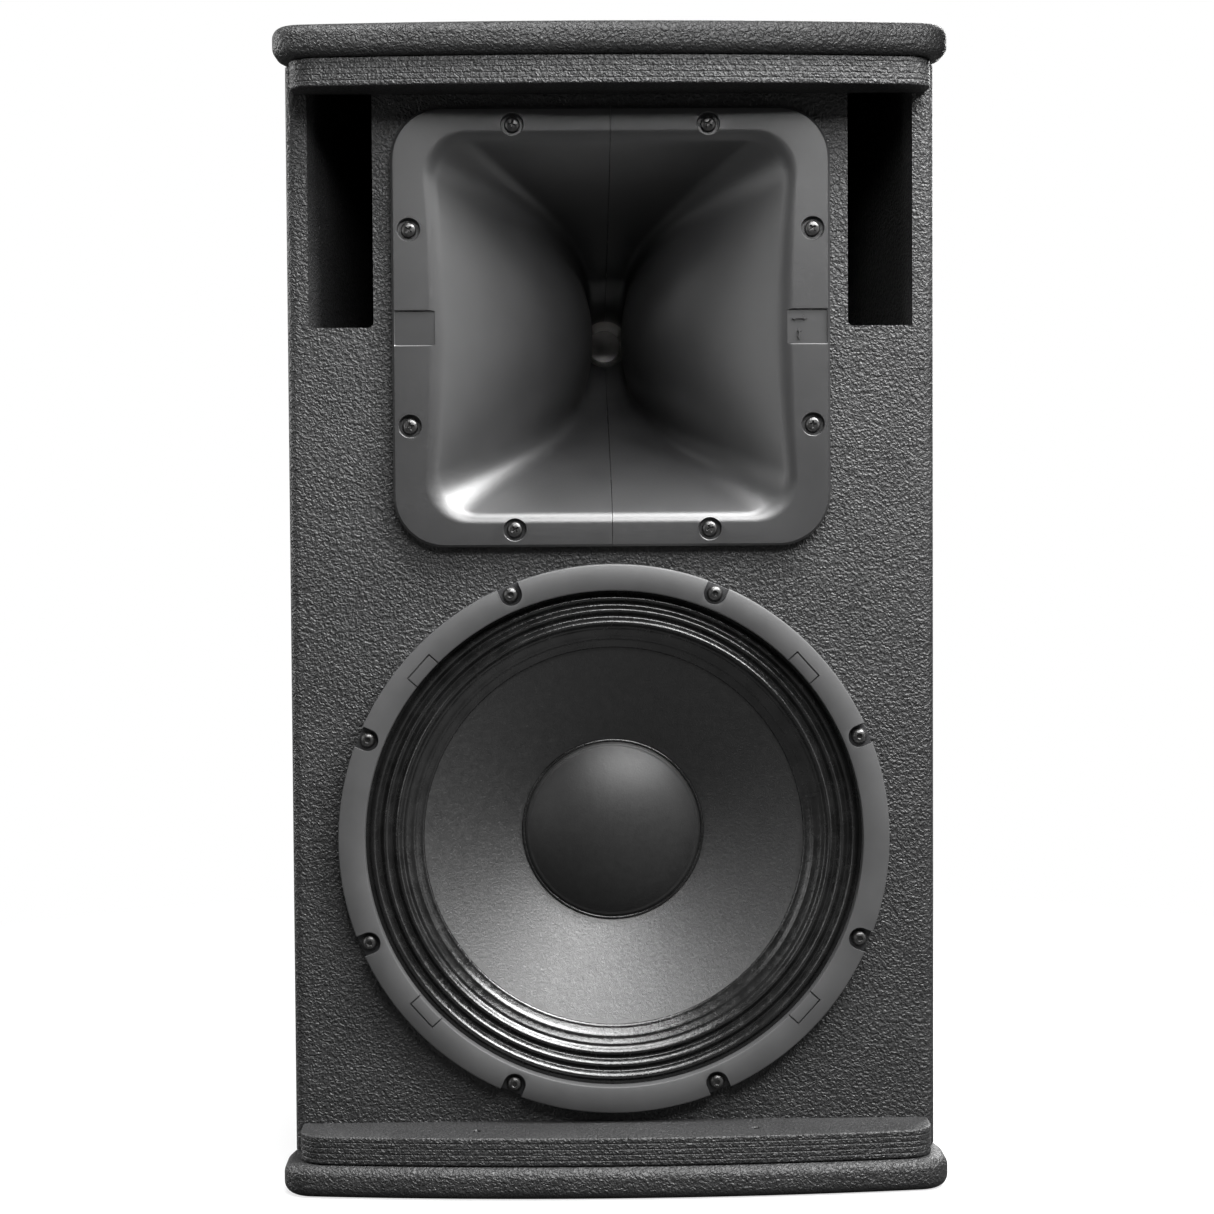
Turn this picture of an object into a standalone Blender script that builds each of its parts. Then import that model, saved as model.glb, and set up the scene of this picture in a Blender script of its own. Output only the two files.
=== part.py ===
"""Two-way loudspeaker cabinet: plywood box, 12-inch woofer, moulded horn with its driver, rear input panel.

Metres, +Z up. The origin is on the floor under the middle of the cabinet, and the front faces -Y.
"""

from math import atan2, cos, pi, radians, sin, tan

import bmesh
import bpy
from mathutils import Matrix, Vector

for item in list(bpy.data.objects):
    bpy.data.objects.remove(item, do_unlink=True)

# Cabinet
HEIGHT = 0.648
DEPTH = 0.350
CAP_THICKNESS = 0.018
CAP_HALF_WIDTH = 0.1865
CAP_EDGE = 0.0065
CAP_AHEAD = 0.045
CAP_CORNER = 0.018
REAR_OVERHANG = 0.004
BOW_RADIUS = 1.335
BODY_HALF_WIDTH = 0.1832
BODY_REAR_HALF_WIDTH = 0.125
SIDE_THICKNESS = 0.013
SIDE_ROUND = 0.006
BAFFLE_THICKNESS = 0.018
REAR_THICKNESS = 0.015
GAP = 0.0003

# Grille rails
RAIL_HALF_WIDTH = 0.1775
RAIL_HEIGHT = 0.0157
RAIL_AHEAD = 0.0404
RAIL_CORNER = 0.016
PILOT_HOLE_X = 0.0782
PILOT_HOLE_AHEAD = 0.0207
PILOT_HOLE_RADIUS = 0.0022
PILOT_HOLE_DEPTH = 0.009

# Ports
PORT_INNER_X = 0.1333
PORT_FLOOR_Z = 0.484
PORT_CORNER = 0.003
PORT_DUCT_LENGTH = 0.090
PORT_BOARD = 0.009

# Horn
HORN_Z = 0.4834
HORN_FLANGE = 0.12275
HORN_FLANGE_CORNER = 0.029
HORN_FLANGE_THICKNESS = 0.006
HORN_SCREW_NEAR = 0.0548
HORN_SCREW_FAR = 0.113
HORN_WALL = 0.003
HORN_LENGTH = 0.196
MOUTH_HALF_WIDTH = 0.103
MOUTH_WAIST = 0.0985
MOUTH_HALF_HEIGHT = 0.106
MOUTH_CORNER = 0.025
MOUTH_LIP = 0.0040
MOUTH_FLARE = 0.010
SLOT_HALF_WIDTH = 0.0087
SLOT_DEPTH = 0.140
THROAT_RADIUS = 0.0145
DRIVER_FLANGE_RADIUS = 0.042
DRIVER_FLANGE_THICKNESS = 0.006

# Woofer
WOOFER_Z = 0.1953
RING_OUTER = 0.1555
RING_INNER = 0.1405
RING_AHEAD = 0.008
FLANGE_AHEAD = 0.004
WOOFER_HOLE = 0.145
WOOFER_SCREW_CIRCLE = 0.150
NOTCH_RADIUS = 0.00635
CONE_RADIUS = 0.117
CONE_NECK = 0.0386
CONE_SLOPE = 0.532
CONE_EDGE_BACK = 0.0023
PLEAT_START = 0.119
PLEAT_PITCH = 0.0068
PLEAT_COUNT = 3
PLEAT_HEIGHT = 0.0026
DUST_CAP_RADIUS = 0.051
DUST_CAP_HEIGHT = 0.015
ROUND_STEPS = 32

# Rear input panel
PANEL_Z = 0.205
PANEL_HALF_WIDTH = 0.085
PANEL_HALF_HEIGHT = 0.060
DISH_HALF_WIDTH = 0.0755
DISH_HALF_HEIGHT = 0.0505
DISH_DEPTH = 0.030
DISH_WALL = 0.0025

BAFFLE_FRONT = CAP_AHEAD - DEPTH / 2
BODY_REAR = DEPTH / 2 - REAR_OVERHANG
BODY_LOW = CAP_THICKNESS + GAP
BODY_HIGH = HEIGHT - CAP_THICKNESS - GAP
SIDE_SLOPE = (BODY_HALF_WIDTH - BODY_REAR_HALF_WIDTH) / (BODY_REAR - BAFFLE_FRONT)
SIDE_LEAN = (1 + SIDE_SLOPE**2) ** 0.5
HORN_FRONT = BAFFLE_FRONT - GAP - HORN_FLANGE_THICKNESS
DISH_FLOOR = BODY_REAR + GAP + DISH_WALL - DISH_DEPTH


def inside_width(y):
    """Half the clear width between the side panels at depth y."""
    outer = BODY_HALF_WIDTH - SIDE_SLOPE * (y - BAFFLE_FRONT)
    return outer - SIDE_THICKNESS * SIDE_LEAN


def material(name, colour, roughness, metallic=0.0):
    made = bpy.data.materials.new(name)
    made.use_nodes = True
    shader = made.node_tree.nodes["Principled BSDF"]
    shader.inputs["Base Color"].default_value = (*colour, 1.0)
    shader.inputs["Roughness"].default_value = roughness
    shader.inputs["Metallic"].default_value = metallic
    return made


COATING = material("textured_coating", (0.022, 0.022, 0.023), 0.55)
BARE_PLY = material("bare_plywood", (0.42, 0.30, 0.18), 0.7)
PADDING = material("damping_fleece", (0.55, 0.55, 0.52), 0.95)
HORN_PLASTIC = material("horn_plastic", (0.045, 0.045, 0.047), 0.38)
RING_PLASTIC = material("ring_plastic", (0.06, 0.06, 0.062), 0.5)
CAST_METAL = material("black_casting", (0.02, 0.02, 0.021), 0.45, 0.5)
TREATED_CLOTH = material("treated_cloth", (0.012, 0.012, 0.012), 0.2)
PAPER = material("cone_paper", (0.035, 0.035, 0.036), 0.8)
SPIDER_CLOTH = material("spider_cloth", (0.45, 0.30, 0.12), 0.8)
COPPER = material("copper_winding", (0.60, 0.28, 0.13), 0.35, 1.0)
PLATED_STEEL = material("plated_steel", (0.55, 0.55, 0.56), 0.3, 1.0)
FERRITE = material("ferrite", (0.05, 0.05, 0.055), 0.5)
BLACK_STEEL = material("black_steel", (0.03, 0.03, 0.03), 0.35, 0.9)
TITANIUM = material("titanium_foil", (0.50, 0.49, 0.47), 0.3, 1.0)
BLACK_PLASTIC = material("black_plastic", (0.03, 0.03, 0.03), 0.45)
BLUE_PLASTIC = material("blue_plastic", (0.05, 0.12, 0.35), 0.45)
CAPACITOR_FILM = material("capacitor_film", (0.60, 0.50, 0.12), 0.4)
BOARD = material("crossover_fibreboard", (0.25, 0.18, 0.10), 0.8)
CABLE = material("cable_jacket", (0.25, 0.03, 0.03), 0.5)


def put(name, mesh, finish, parent=None, location=(0.0, 0.0, 0.0)):
    """A node of the model, with its finish, smooth where it is round."""
    mesh.materials.append(finish)
    mesh.shade_smooth()
    mesh.set_sharp_from_angle(angle=radians(35))
    node = bpy.data.objects.new(name, mesh)
    node.parent = parent
    node.location = location
    bpy.context.collection.objects.link(node)
    return node


def axis_empty(name, location):
    """An empty on the axis that a group of round pieces shares."""
    empty = bpy.data.objects.new(name, None)
    empty.location = location
    bpy.context.collection.objects.link(empty)
    return empty


def finished_mesh(name, shape):
    """The closed shape as a mesh, its faces pointing out."""
    bmesh.ops.remove_doubles(shape, verts=shape.verts, dist=1e-6)
    bmesh.ops.recalc_face_normals(shape, faces=shape.faces)
    mesh = bpy.data.meshes.new(name)
    shape.to_mesh(mesh)
    shape.free()
    return mesh


def extruded(name, outlines, low, high, along="Z"):
    """Each flat outline drawn out from low to high along Z, or along Y, as one mesh."""
    shape = bmesh.new()
    for outline in outlines:
        if along == "Z":
            corners = [(a, b, low) for a, b in outline]
            step = Vector((0.0, 0.0, high - low))
        else:
            corners = [(a, low, b) for a, b in outline]
            step = Vector((0.0, high - low, 0.0))
        face = shape.faces.new([shape.verts.new(corner) for corner in corners])
        drawn = bmesh.ops.extrude_face_region(shape, geom=[face])
        moved = [part for part in drawn["geom"] if isinstance(part, bmesh.types.BMVert)]
        bmesh.ops.translate(shape, verts=moved, vec=step)
    return finished_mesh(name, shape)


def turned(name, profile, steps=ROUND_STEPS):
    """A profile of (radius, distance ahead) points spun round the Y axis; it may start and end on the axis."""
    shape = bmesh.new()
    points = [shape.verts.new((radius, -ahead, 0.0)) for radius, ahead in profile]
    for first, second in zip(points, points[1:]):
        shape.edges.new((first, second))
    if profile[0][0] > 0.0:
        shape.edges.new((points[-1], points[0]))
    bmesh.ops.spin(
        shape,
        geom=shape.verts[:] + shape.edges[:],
        cent=(0.0, 0.0, 0.0),
        axis=(0.0, 1.0, 0.0),
        angle=2 * pi,
        steps=steps,
        use_merge=True,
    )
    return finished_mesh(name, shape)


def circle(x, y, radius, steps):
    """A round outline."""
    turns = [2 * pi * k / steps for k in range(steps)]
    return [(x + radius * cos(turn), y + radius * sin(turn)) for turn in turns]


def rounded(corners, steps=4):
    """The outline through (x, y, radius) corners, each turned by an arc of its radius."""
    outline = []
    for index, (x, y, radius) in enumerate(corners):
        corner = Vector((x, y))
        if radius == 0.0:
            outline.append((x, y))
            continue
        before = (Vector(corners[index - 1][:2]) - corner).normalized()
        after = (Vector(corners[(index + 1) % len(corners)][:2]) - corner).normalized()
        half = before.angle(after) / 2
        centre = corner + (before + after).normalized() * radius / sin(half)
        start = corner + before * radius / tan(half) - centre
        end = corner + after * radius / tan(half) - centre
        first = atan2(start.y, start.x)
        sweep = (atan2(end.y, end.x) - first + pi) % (2 * pi) - pi
        for k in range(steps + 1):
            turn = first + sweep * k / steps
            outline.append((centre.x + radius * cos(turn), centre.y + radius * sin(turn)))
    return outline


def box_outline(x, y, half_x, half_y, radius=0.0, steps=4):
    """A rectangle about (x, y), its corners rounded."""
    return rounded(
        [
            (x - half_x, y - half_y, radius),
            (x + half_x, y - half_y, radius),
            (x + half_x, y + half_y, radius),
            (x - half_x, y + half_y, radius),
        ],
        steps,
    )


def boolean(target, mesh, operation="DIFFERENCE", parent=None, location=(0.0, 0.0, 0.0)):
    """Cuts the mesh from the target, or joins it on, with a Boolean that stays live."""
    tool = bpy.data.objects.new(mesh.name, mesh)
    tool.parent = parent
    tool.location = location
    tool.hide_render = True
    tool.display_type = "WIRE"
    bpy.context.collection.objects.link(tool)
    step = target.modifiers.new(mesh.name, "BOOLEAN")
    step.operation = operation
    step.object = tool
    step.solver = "EXACT"


def screw(name, head_radius, head_height, shank_radius, shank_length, steps=8):
    """A button-head screw along Y, its head's underside at the origin and its point to the back."""
    profile = [
        (0.0, head_height),
        (0.62 * head_radius, 0.88 * head_height),
        (head_radius, 0.35 * head_height),
        (head_radius, 0.0),
        (shank_radius, 0.0),
        (shank_radius, -shank_length),
        (0.0, -shank_length),
    ]
    return turned(name, profile, steps)


# Caps: plywood boards with rounded edges, bowed forwards and narrowing to the back


def bow(half_width, ahead, steps=10):
    """Corners along a shallow arc whose middle stands that far ahead of the baffle."""
    spread = [half_width * (2 * k / steps - 1) for k in range(steps + 1)]
    return [(x, BAFFLE_FRONT - ahead + x * x / (2 * BOW_RADIUS), 0.0) for x in spread]


def bowed_board(half_width, ahead, corner_radius, rear_corners):
    """Plan of a board with a bowed front, rounded front corners and the given rear corners."""
    front = bow(half_width, ahead)
    front[0] = (*front[0][:2], corner_radius)
    front[-1] = (*front[-1][:2], corner_radius)
    return rounded(front + rear_corners)


cap_rear = BODY_REAR_HALF_WIDTH + CAP_HALF_WIDTH - BODY_HALF_WIDTH
cap_plan = bowed_board(
    CAP_HALF_WIDTH,
    CAP_AHEAD,
    CAP_CORNER,
    [
        (CAP_HALF_WIDTH, BAFFLE_FRONT, 0.0),
        (cap_rear, DEPTH / 2, 0.012),
        (-cap_rear, DEPTH / 2, 0.012),
        (-CAP_HALF_WIDTH, BAFFLE_FRONT, 0.0),
    ],
)


def cap(name, low):
    """One cap from the plan, its long edges rounded over."""
    node = put(name, extruded(name, [cap_plan], low, low + CAP_THICKNESS), COATING)
    edge = node.modifiers.new("round_over", "BEVEL")
    edge.width = CAP_EDGE
    edge.segments = 3
    edge.limit_method = "ANGLE"
    edge.angle_limit = radians(60)
    return node


bottom_panel = cap("bottom_panel", 0.0)
top_panel = cap("top_panel", HEIGHT - CAP_THICKNESS)

# Rigging points: threaded inserts closed by countersunk M10 blanking screws

RIGGING_HEAD = 0.0095
RIGGING_SHANK = 0.005
RIGGING_LENGTH = 0.024
RIGGING_HEAD_DEPTH = 0.0045
RIGGING_SINK = 0.0004


def rigging_profile(spare, over):
    """Countersunk head and shank; `spare` widens it and `over` lengthens both ends, for the hole."""
    return [
        (0.0, over),
        (RIGGING_HEAD + spare, over),
        (RIGGING_HEAD + spare, -RIGGING_SINK),
        (RIGGING_SHANK + spare, -RIGGING_HEAD_DEPTH),
        (RIGGING_SHANK + spare, -RIGGING_LENGTH - over),
        (0.0, -RIGGING_LENGTH - over),
    ]


def rigging_screw(name, holder, location, turn):
    """A blanking screw set into the holder, its axis turned from Y about X."""
    facing = Matrix.Rotation(turn, 4, "X")
    mesh = turned(name, rigging_profile(0.0, -RIGGING_SINK), 16)
    mesh.transform(facing)
    put(name, mesh, BLACK_STEEL, location=location)
    hole = turned(name + "_hole", rigging_profile(GAP, 0.002), 16)
    hole.transform(facing)
    boolean(holder, hole, location=location)


rigging_screw("top_rigging_screw_front", top_panel, (0.0, -0.060, HEIGHT), -pi / 2)
rigging_screw("top_rigging_screw_rear", top_panel, (0.0, 0.110, HEIGHT), -pi / 2)

# Side panels, with the front corner rounded over


def side_panel(name, side):
    """A board that leans inwards to the back."""
    inner_front = inside_width(BAFFLE_FRONT)
    inner_rear = inside_width(BODY_REAR)
    plan = rounded(
        [
            (side * BODY_HALF_WIDTH, BAFFLE_FRONT, SIDE_ROUND),
            (side * BODY_REAR_HALF_WIDTH, BODY_REAR, 0.003),
            (side * inner_rear, BODY_REAR, 0.0),
            (side * inner_front, BAFFLE_FRONT, 0.0),
        ]
    )
    put(name, extruded(name, [plan], BODY_LOW, BODY_HIGH), COATING)


side_panel("left_side_panel", -1)
side_panel("right_side_panel", 1)


def board_between_sides(front, rear):
    """Plan of a board that fills the width between the side panels from one depth to another."""
    wide = inside_width(front) - GAP
    narrow = inside_width(rear) - GAP
    return [(-wide, front), (wide, front), (narrow, rear), (-narrow, rear)]


# Baffle, with the openings for horn and woofer, and a notch for each port

BAFFLE_REAR = BAFFLE_FRONT + BAFFLE_THICKNESS
WOOFER_SCREW_HOLE = 0.0028
HORN_SCREW_HOLE = 0.0026
WOOFER_SCREW_TURNS = [radians(22.5 + 45 * k) for k in range(8)]
HORN_SCREWS = [
    (x * side_x, z * side_z)
    for x, z in ((HORN_SCREW_NEAR, HORN_SCREW_FAR), (HORN_SCREW_FAR, HORN_SCREW_NEAR))
    for side_x in (-1, 1)
    for side_z in (-1, 1)
]


def port_notch(side):
    """Outline of the notch at a top corner of the baffle, rounded at its inner foot."""
    return rounded(
        [
            (side * PORT_INNER_X, PORT_FLOOR_Z, PORT_CORNER),
            (side * 0.19, PORT_FLOOR_Z, 0.0),
            (side * 0.19, HEIGHT, 0.0),
            (side * PORT_INNER_X, HEIGHT, 0.0),
        ],
        3,
    )


baffle_plan = board_between_sides(BAFFLE_FRONT, BAFFLE_REAR)
baffle = put("baffle", extruded("baffle", [baffle_plan], BODY_LOW, BODY_HIGH), COATING)
openings = [
    port_notch(-1),
    port_notch(1),
    box_outline(0.0, HORN_Z, 0.104, 0.1082, 0.024, 3),
    circle(0.0, WOOFER_Z, WOOFER_HOLE, ROUND_STEPS),
]
for x, z in HORN_SCREWS:
    openings.append(circle(x, HORN_Z + z, HORN_SCREW_HOLE, 6))
for turn in WOOFER_SCREW_TURNS:
    x = WOOFER_SCREW_CIRCLE * cos(turn)
    z = WOOFER_Z + WOOFER_SCREW_CIRCLE * sin(turn)
    openings.append(circle(x, z, WOOFER_SCREW_HOLE, 6))
boolean(baffle, extruded("baffle_openings", openings, BAFFLE_FRONT - 0.01, BAFFLE_REAR + 0.01, "Y"))

# Rear panel, with a hole for the dished input plate and a rigging point

rear_plan = board_between_sides(BODY_REAR - REAR_THICKNESS, BODY_REAR)
rear_panel = put("rear_panel", extruded("rear_panel", [rear_plan], BODY_LOW, BODY_HIGH), COATING)
dish_hole = box_outline(
    0.0, PANEL_Z, DISH_HALF_WIDTH + DISH_WALL + GAP, DISH_HALF_HEIGHT + DISH_WALL + GAP, 0.006, 2
)
boolean(rear_panel, extruded("dish_hole", [dish_hole], BODY_REAR - 0.03, BODY_REAR + 0.01, "Y"))
rigging_screw("rear_rigging_screw", rear_panel, (0.0, BODY_REAR, 0.560), pi)

# Shelf brace between horn and woofer, with a window in its middle

BRACE_LOW = 0.346
BRACE_HIGH = 0.361
brace_plan = board_between_sides(BAFFLE_REAR + GAP, BODY_REAR - REAR_THICKNESS - GAP)
shelf_brace = put("shelf_brace", extruded("shelf_brace", [brace_plan], BRACE_LOW, BRACE_HIGH), BARE_PLY)
window = box_outline(0.0, 0.020, 0.078, 0.090, 0.025)
boolean(shelf_brace, extruded("brace_window", [window], BRACE_LOW - 0.01, BRACE_HIGH + 0.01))

# Port ducts: an L of two boards that runs back from each notch, parallel to the side panel


def port_duct(name, side):
    """The inner wall and the floor of a port, sheared so that it follows the side panel."""
    front = BAFFLE_REAR + GAP
    inner_x = PORT_INNER_X - SIDE_SLOPE * (front - BAFFLE_FRONT)
    outer_x = inside_width(front) - GAP
    profile = [
        (side * outer_x, PORT_FLOOR_Z),
        (side * inner_x, PORT_FLOOR_Z),
        (side * inner_x, BODY_HIGH),
        (side * (inner_x - PORT_BOARD), BODY_HIGH),
        (side * (inner_x - PORT_BOARD), PORT_FLOOR_Z - PORT_BOARD),
        (side * outer_x, PORT_FLOOR_Z - PORT_BOARD),
    ]
    mesh = extruded(name, [profile], 0.0, PORT_DUCT_LENGTH, "Y")
    lean = Matrix.Identity(4)
    lean[0][1] = -side * SIDE_SLOPE
    mesh.transform(lean)
    put(name, mesh, COATING, location=(0.0, front, 0.0))


port_duct("left_port_duct", -1)
port_duct("right_port_duct", 1)

# Grille rails: bowed plywood strips that the grille would be screwed to

rail_plan = bowed_board(
    RAIL_HALF_WIDTH,
    RAIL_AHEAD,
    RAIL_CORNER,
    [(RAIL_HALF_WIDTH, BAFFLE_FRONT - GAP, 0.0), (-RAIL_HALF_WIDTH, BAFFLE_FRONT - GAP, 0.0)],
)
rail_top_z = BODY_LOW + RAIL_HEIGHT
put("top_grille_rail", extruded("top_grille_rail", [rail_plan], BODY_HIGH - RAIL_HEIGHT, BODY_HIGH), COATING)
bottom_rail = put("bottom_grille_rail", extruded("bottom_grille_rail", [rail_plan], BODY_LOW, rail_top_z), COATING)
pilot_holes = [
    circle(side * PILOT_HOLE_X, BAFFLE_FRONT - PILOT_HOLE_AHEAD, PILOT_HOLE_RADIUS, 8) for side in (-1, 1)
]
boolean(bottom_rail, extruded("pilot_holes", pilot_holes, rail_top_z - PILOT_HOLE_DEPTH, rail_top_z + 0.005))

# Damping pad on the rear wall, behind the horn driver

pad_rear = BODY_REAR - REAR_THICKNESS - GAP
pad = put(
    "damping_pad",
    extruded("damping_pad", [box_outline(0.0, 0.465, 0.092, 0.075, 0.02, 3)], pad_rear - 0.026, pad_rear, "Y"),
    PADDING,
)

# Horn: two moulded halves that meet on the upright middle plane

HORN_EDGE_STEPS = 3
HORN_CORNER_STEPS = 4
HORN_SIDE_STEPS = 6
HORN_HALF_STEPS = 2 * HORN_EDGE_STEPS + 2 * HORN_CORNER_STEPS + HORN_SIDE_STEPS


def half_box(half_x, half_z, radius):
    """Right half of a rounded rectangle from its top middle down, so every section has its corners in step."""
    points = []
    for k in range(HORN_EDGE_STEPS):
        points.append(Vector(((half_x - radius) * k / HORN_EDGE_STEPS, half_z)))
    for k in range(HORN_CORNER_STEPS):
        turn = pi / 2 * k / HORN_CORNER_STEPS
        points.append(Vector((half_x - radius + radius * sin(turn), half_z - radius + radius * cos(turn))))
    for k in range(HORN_SIDE_STEPS + 1):
        points.append(Vector((half_x, (half_z - radius) * (1 - 2 * k / HORN_SIDE_STEPS))))
    lower = points[: HORN_EDGE_STEPS + HORN_CORNER_STEPS]
    return points + [Vector((point.x, -point.y)) for point in reversed(lower)]


def half_disc(radius):
    """Right half of a circle from its top down, with as many steps as a half box."""
    turns = [pi * k / HORN_HALF_STEPS for k in range(HORN_HALF_STEPS + 1)]
    return [Vector((sin(turn), cos(turn))) * radius for turn in turns]


def smooth(value):
    """Ease from 0 to 1 with level ends."""
    value = min(max(value, 0.0), 1.0)
    return value * value * (3 - 2 * value)


def horn_section(depth, wall=0.0):
    """Half a section of the horn at that depth: a rounded box with a waist, turning round at the throat."""
    left = max(1 - depth / HORN_LENGTH, 0.0)
    shoulder = 0.011 + (MOUTH_HALF_WIDTH - 0.011) * left**2.25
    straight = MOUTH_HALF_HEIGHT - MOUTH_FLARE - THROAT_RADIUS
    half_height = THROAT_RADIUS + straight * left + MOUTH_FLARE * left**6
    waist = SLOT_HALF_WIDTH + (MOUTH_WAIST - SLOT_HALF_WIDTH) * max(1 - depth / SLOT_DEPTH, 0.0) ** 2.4
    roundness = smooth((depth - SLOT_DEPTH) / (HORN_LENGTH - SLOT_DEPTH))
    radius = min(MOUTH_CORNER * left, 0.8 * shoulder)
    box = half_box(shoulder + wall, half_height + wall, radius + wall)
    points = []
    for at, circled in zip(box, half_disc(THROAT_RADIUS + wall)):
        level = min(abs(at.y) / half_height, 1.0)
        pinch = waist / shoulder + (1 - waist / shoulder) * level**2
        boxed = Vector((wall + (at.x - wall) * pinch if at.x > wall else at.x, at.y))
        points.append(boxed.lerp(circled, roundness))
    return points


def horn_half(name, side, parent):
    """One half as a closed skin: flange, flare, driver flange and the outside, ring by ring."""
    rear = HORN_LENGTH - DRIVER_FLANGE_THICKNESS
    mouth = [point * (1 + MOUTH_LIP / MOUTH_HALF_HEIGHT) for point in horn_section(0.0)]
    inner_depths = [MOUTH_LIP, 0.014, 0.034, 0.060, 0.090, 0.120, 0.150, 0.175]
    outer_depths = [0.170, 0.130, 0.090, 0.050, 0.022]
    rings = [(half_box(HORN_FLANGE, HORN_FLANGE, HORN_FLANGE_CORNER), 0.0), (mouth, 0.0)]
    rings += [(horn_section(depth), depth) for depth in inner_depths]
    rings.append((half_disc(THROAT_RADIUS), HORN_LENGTH))
    rings.append((half_disc(DRIVER_FLANGE_RADIUS), HORN_LENGTH))
    rings.append((half_disc(DRIVER_FLANGE_RADIUS), rear))
    rings.append((horn_section(rear, HORN_WALL), rear))
    rings += [(horn_section(depth, HORN_WALL), depth) for depth in outer_depths]
    rings.append((horn_section(HORN_FLANGE_THICKNESS, HORN_WALL), HORN_FLANGE_THICKNESS))
    rings.append((half_box(HORN_FLANGE, HORN_FLANGE, HORN_FLANGE_CORNER), HORN_FLANGE_THICKNESS))
    shape = bmesh.new()
    grid = []
    for points, depth in rings:
        row = [shape.verts.new((side * max(point.x, GAP / 2), depth, point.y)) for point in points]
        grid.append(row)
    for row, following in zip(grid, grid[1:] + grid[:1]):
        for k in range(HORN_HALF_STEPS):
            shape.faces.new((row[k], row[k + 1], following[k + 1], following[k]))
    shape.faces.new([row[0] for row in grid])
    shape.faces.new([row[-1] for row in grid])
    node = put(name, finished_mesh(name, shape), HORN_PLASTIC, parent, (0.0, HORN_FRONT - BAFFLE_FRONT, 0.0))
    bores = []
    sinks = []
    for x, z in HORN_SCREWS:
        if x * side > 0:
            bores.append(circle(x, z, HORN_SCREW_HOLE, 8))
            sinks.append(circle(x, z, HORN_SCREW_SINK, 10))
    place = (0.0, HORN_FRONT - BAFFLE_FRONT, 0.0)
    boolean(node, extruded(name + "_bores", bores, -0.005, 0.012, "Y"), parent=parent, location=place)
    boolean(node, extruded(name + "_sinks", sinks, -0.005, HORN_SCREW_SINK_DEPTH, "Y"), parent=parent, location=place)


HORN_SCREW_SINK = 0.0064
HORN_SCREW_SINK_DEPTH = 0.0032
horn_axis = axis_empty("horn_axis", (0.0, BAFFLE_FRONT, HORN_Z))
horn_half("horn_left_half", -1, horn_axis)
horn_half("horn_right_half", 1, horn_axis)

HORN_SCREW_HEAD = 0.00435
HORN_SCREW_HEAD_HEIGHT = 0.0024
HORN_SCREW_SHANK = 0.0021
HORN_SCREW_LENGTH = 0.019
head_at = HORN_FRONT - BAFFLE_FRONT + HORN_SCREW_SINK_DEPTH - GAP
for number, (x, z) in enumerate(HORN_SCREWS, 1):
    name = f"horn_screw_{number}"
    mesh = screw(name, HORN_SCREW_HEAD, HORN_SCREW_HEAD_HEIGHT, HORN_SCREW_SHANK, HORN_SCREW_LENGTH)
    put(name, mesh, BLACK_STEEL, horn_axis, (x, head_at, z))

# Compression driver on the back of the horn; distances run ahead from the throat, so they are negative

driver_axis = axis_empty("driver_axis", (0.0, HORN_FRONT + HORN_LENGTH, HORN_Z))
DRIVER_STEPS = 16
throat_plate = [
    (THROAT_RADIUS, -GAP),
    (0.045, -GAP),
    (0.045, -0.008),
    (0.0217, -0.008),
    (0.0217, -0.026),
    (0.010, -0.026),
]
put("hf_throat_plate", turned("hf_throat_plate", throat_plate, DRIVER_STEPS), PLATED_STEEL, driver_axis)
driver_magnet = [(0.0242, -0.0083), (0.050, -0.0083), (0.050, -0.026), (0.0242, -0.026)]
put("hf_magnet", turned("hf_magnet", driver_magnet, DRIVER_STEPS), FERRITE, driver_axis)
driver_dome = [
    (0.0, -0.0346),
    (0.008, -0.0340),
    (0.015, -0.0318),
    (0.021, -0.0284),
    (0.030, -0.0274),
    (0.030, -0.0269),
    (0.0231, -0.0269),
    (0.0231, -0.018),
    (0.0223, -0.018),
    (0.0223, -0.0273),
    (0.0205, -0.0279),
    (0.015, -0.0311),
    (0.008, -0.0333),
    (0.0, -0.0339),
]
put("hf_diaphragm", turned("hf_diaphragm", driver_dome[::-1], DRIVER_STEPS), TITANIUM, driver_axis)
driver_cover = [
    (0.0, -0.040),
    (0.044, -0.040),
    (0.0465, -0.0375),
    (0.0465, -0.0263),
    (0.050, -0.0263),
    (0.050, -0.0385),
    (0.0455, -0.0435),
    (0.0, -0.0435),
]
put("hf_driver_cover", turned("hf_driver_cover", driver_cover, DRIVER_STEPS), BLACK_PLASTIC, driver_axis)

# Woofer; distances run ahead from the baffle's front

woofer_axis = axis_empty("woofer_axis", (0.0, BAFFLE_FRONT, WOOFER_Z))
BASKET_FLOOR = -0.062
BASKET_REAR = -0.066
basket_profile = [
    (0.155, GAP),
    (0.155, FLANGE_AHEAD),
    (0.1435, FLANGE_AHEAD),
    (0.1435, -0.0009),
    (0.1285, -0.0009),
    (0.1285, -0.005),
    (0.092, -0.048),
    (0.092, -0.0503),
    (0.078, -0.0503),
    (0.078, BASKET_FLOOR),
    (0.046, BASKET_FLOOR),
    (0.046, BASKET_REAR),
    (0.090, BASKET_REAR),
    (0.096, BASKET_FLOOR),
    (0.098, -0.048),
    (0.134, -0.006),
    (0.1442, -0.006),
    (0.1442, GAP),
]
basket = put("woofer_basket", turned("woofer_basket", basket_profile), CAST_METAL, woofer_axis)


def wedge(middle, spread, near, far, steps=3):
    """Outline of a ring sector."""
    turns = [middle + spread * (k / steps - 0.5) for k in range(steps + 1)]
    outer = [(far * cos(turn), far * sin(turn)) for turn in turns]
    inner = [(near * cos(turn), near * sin(turn)) for turn in reversed(turns)]
    return outer + inner


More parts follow.
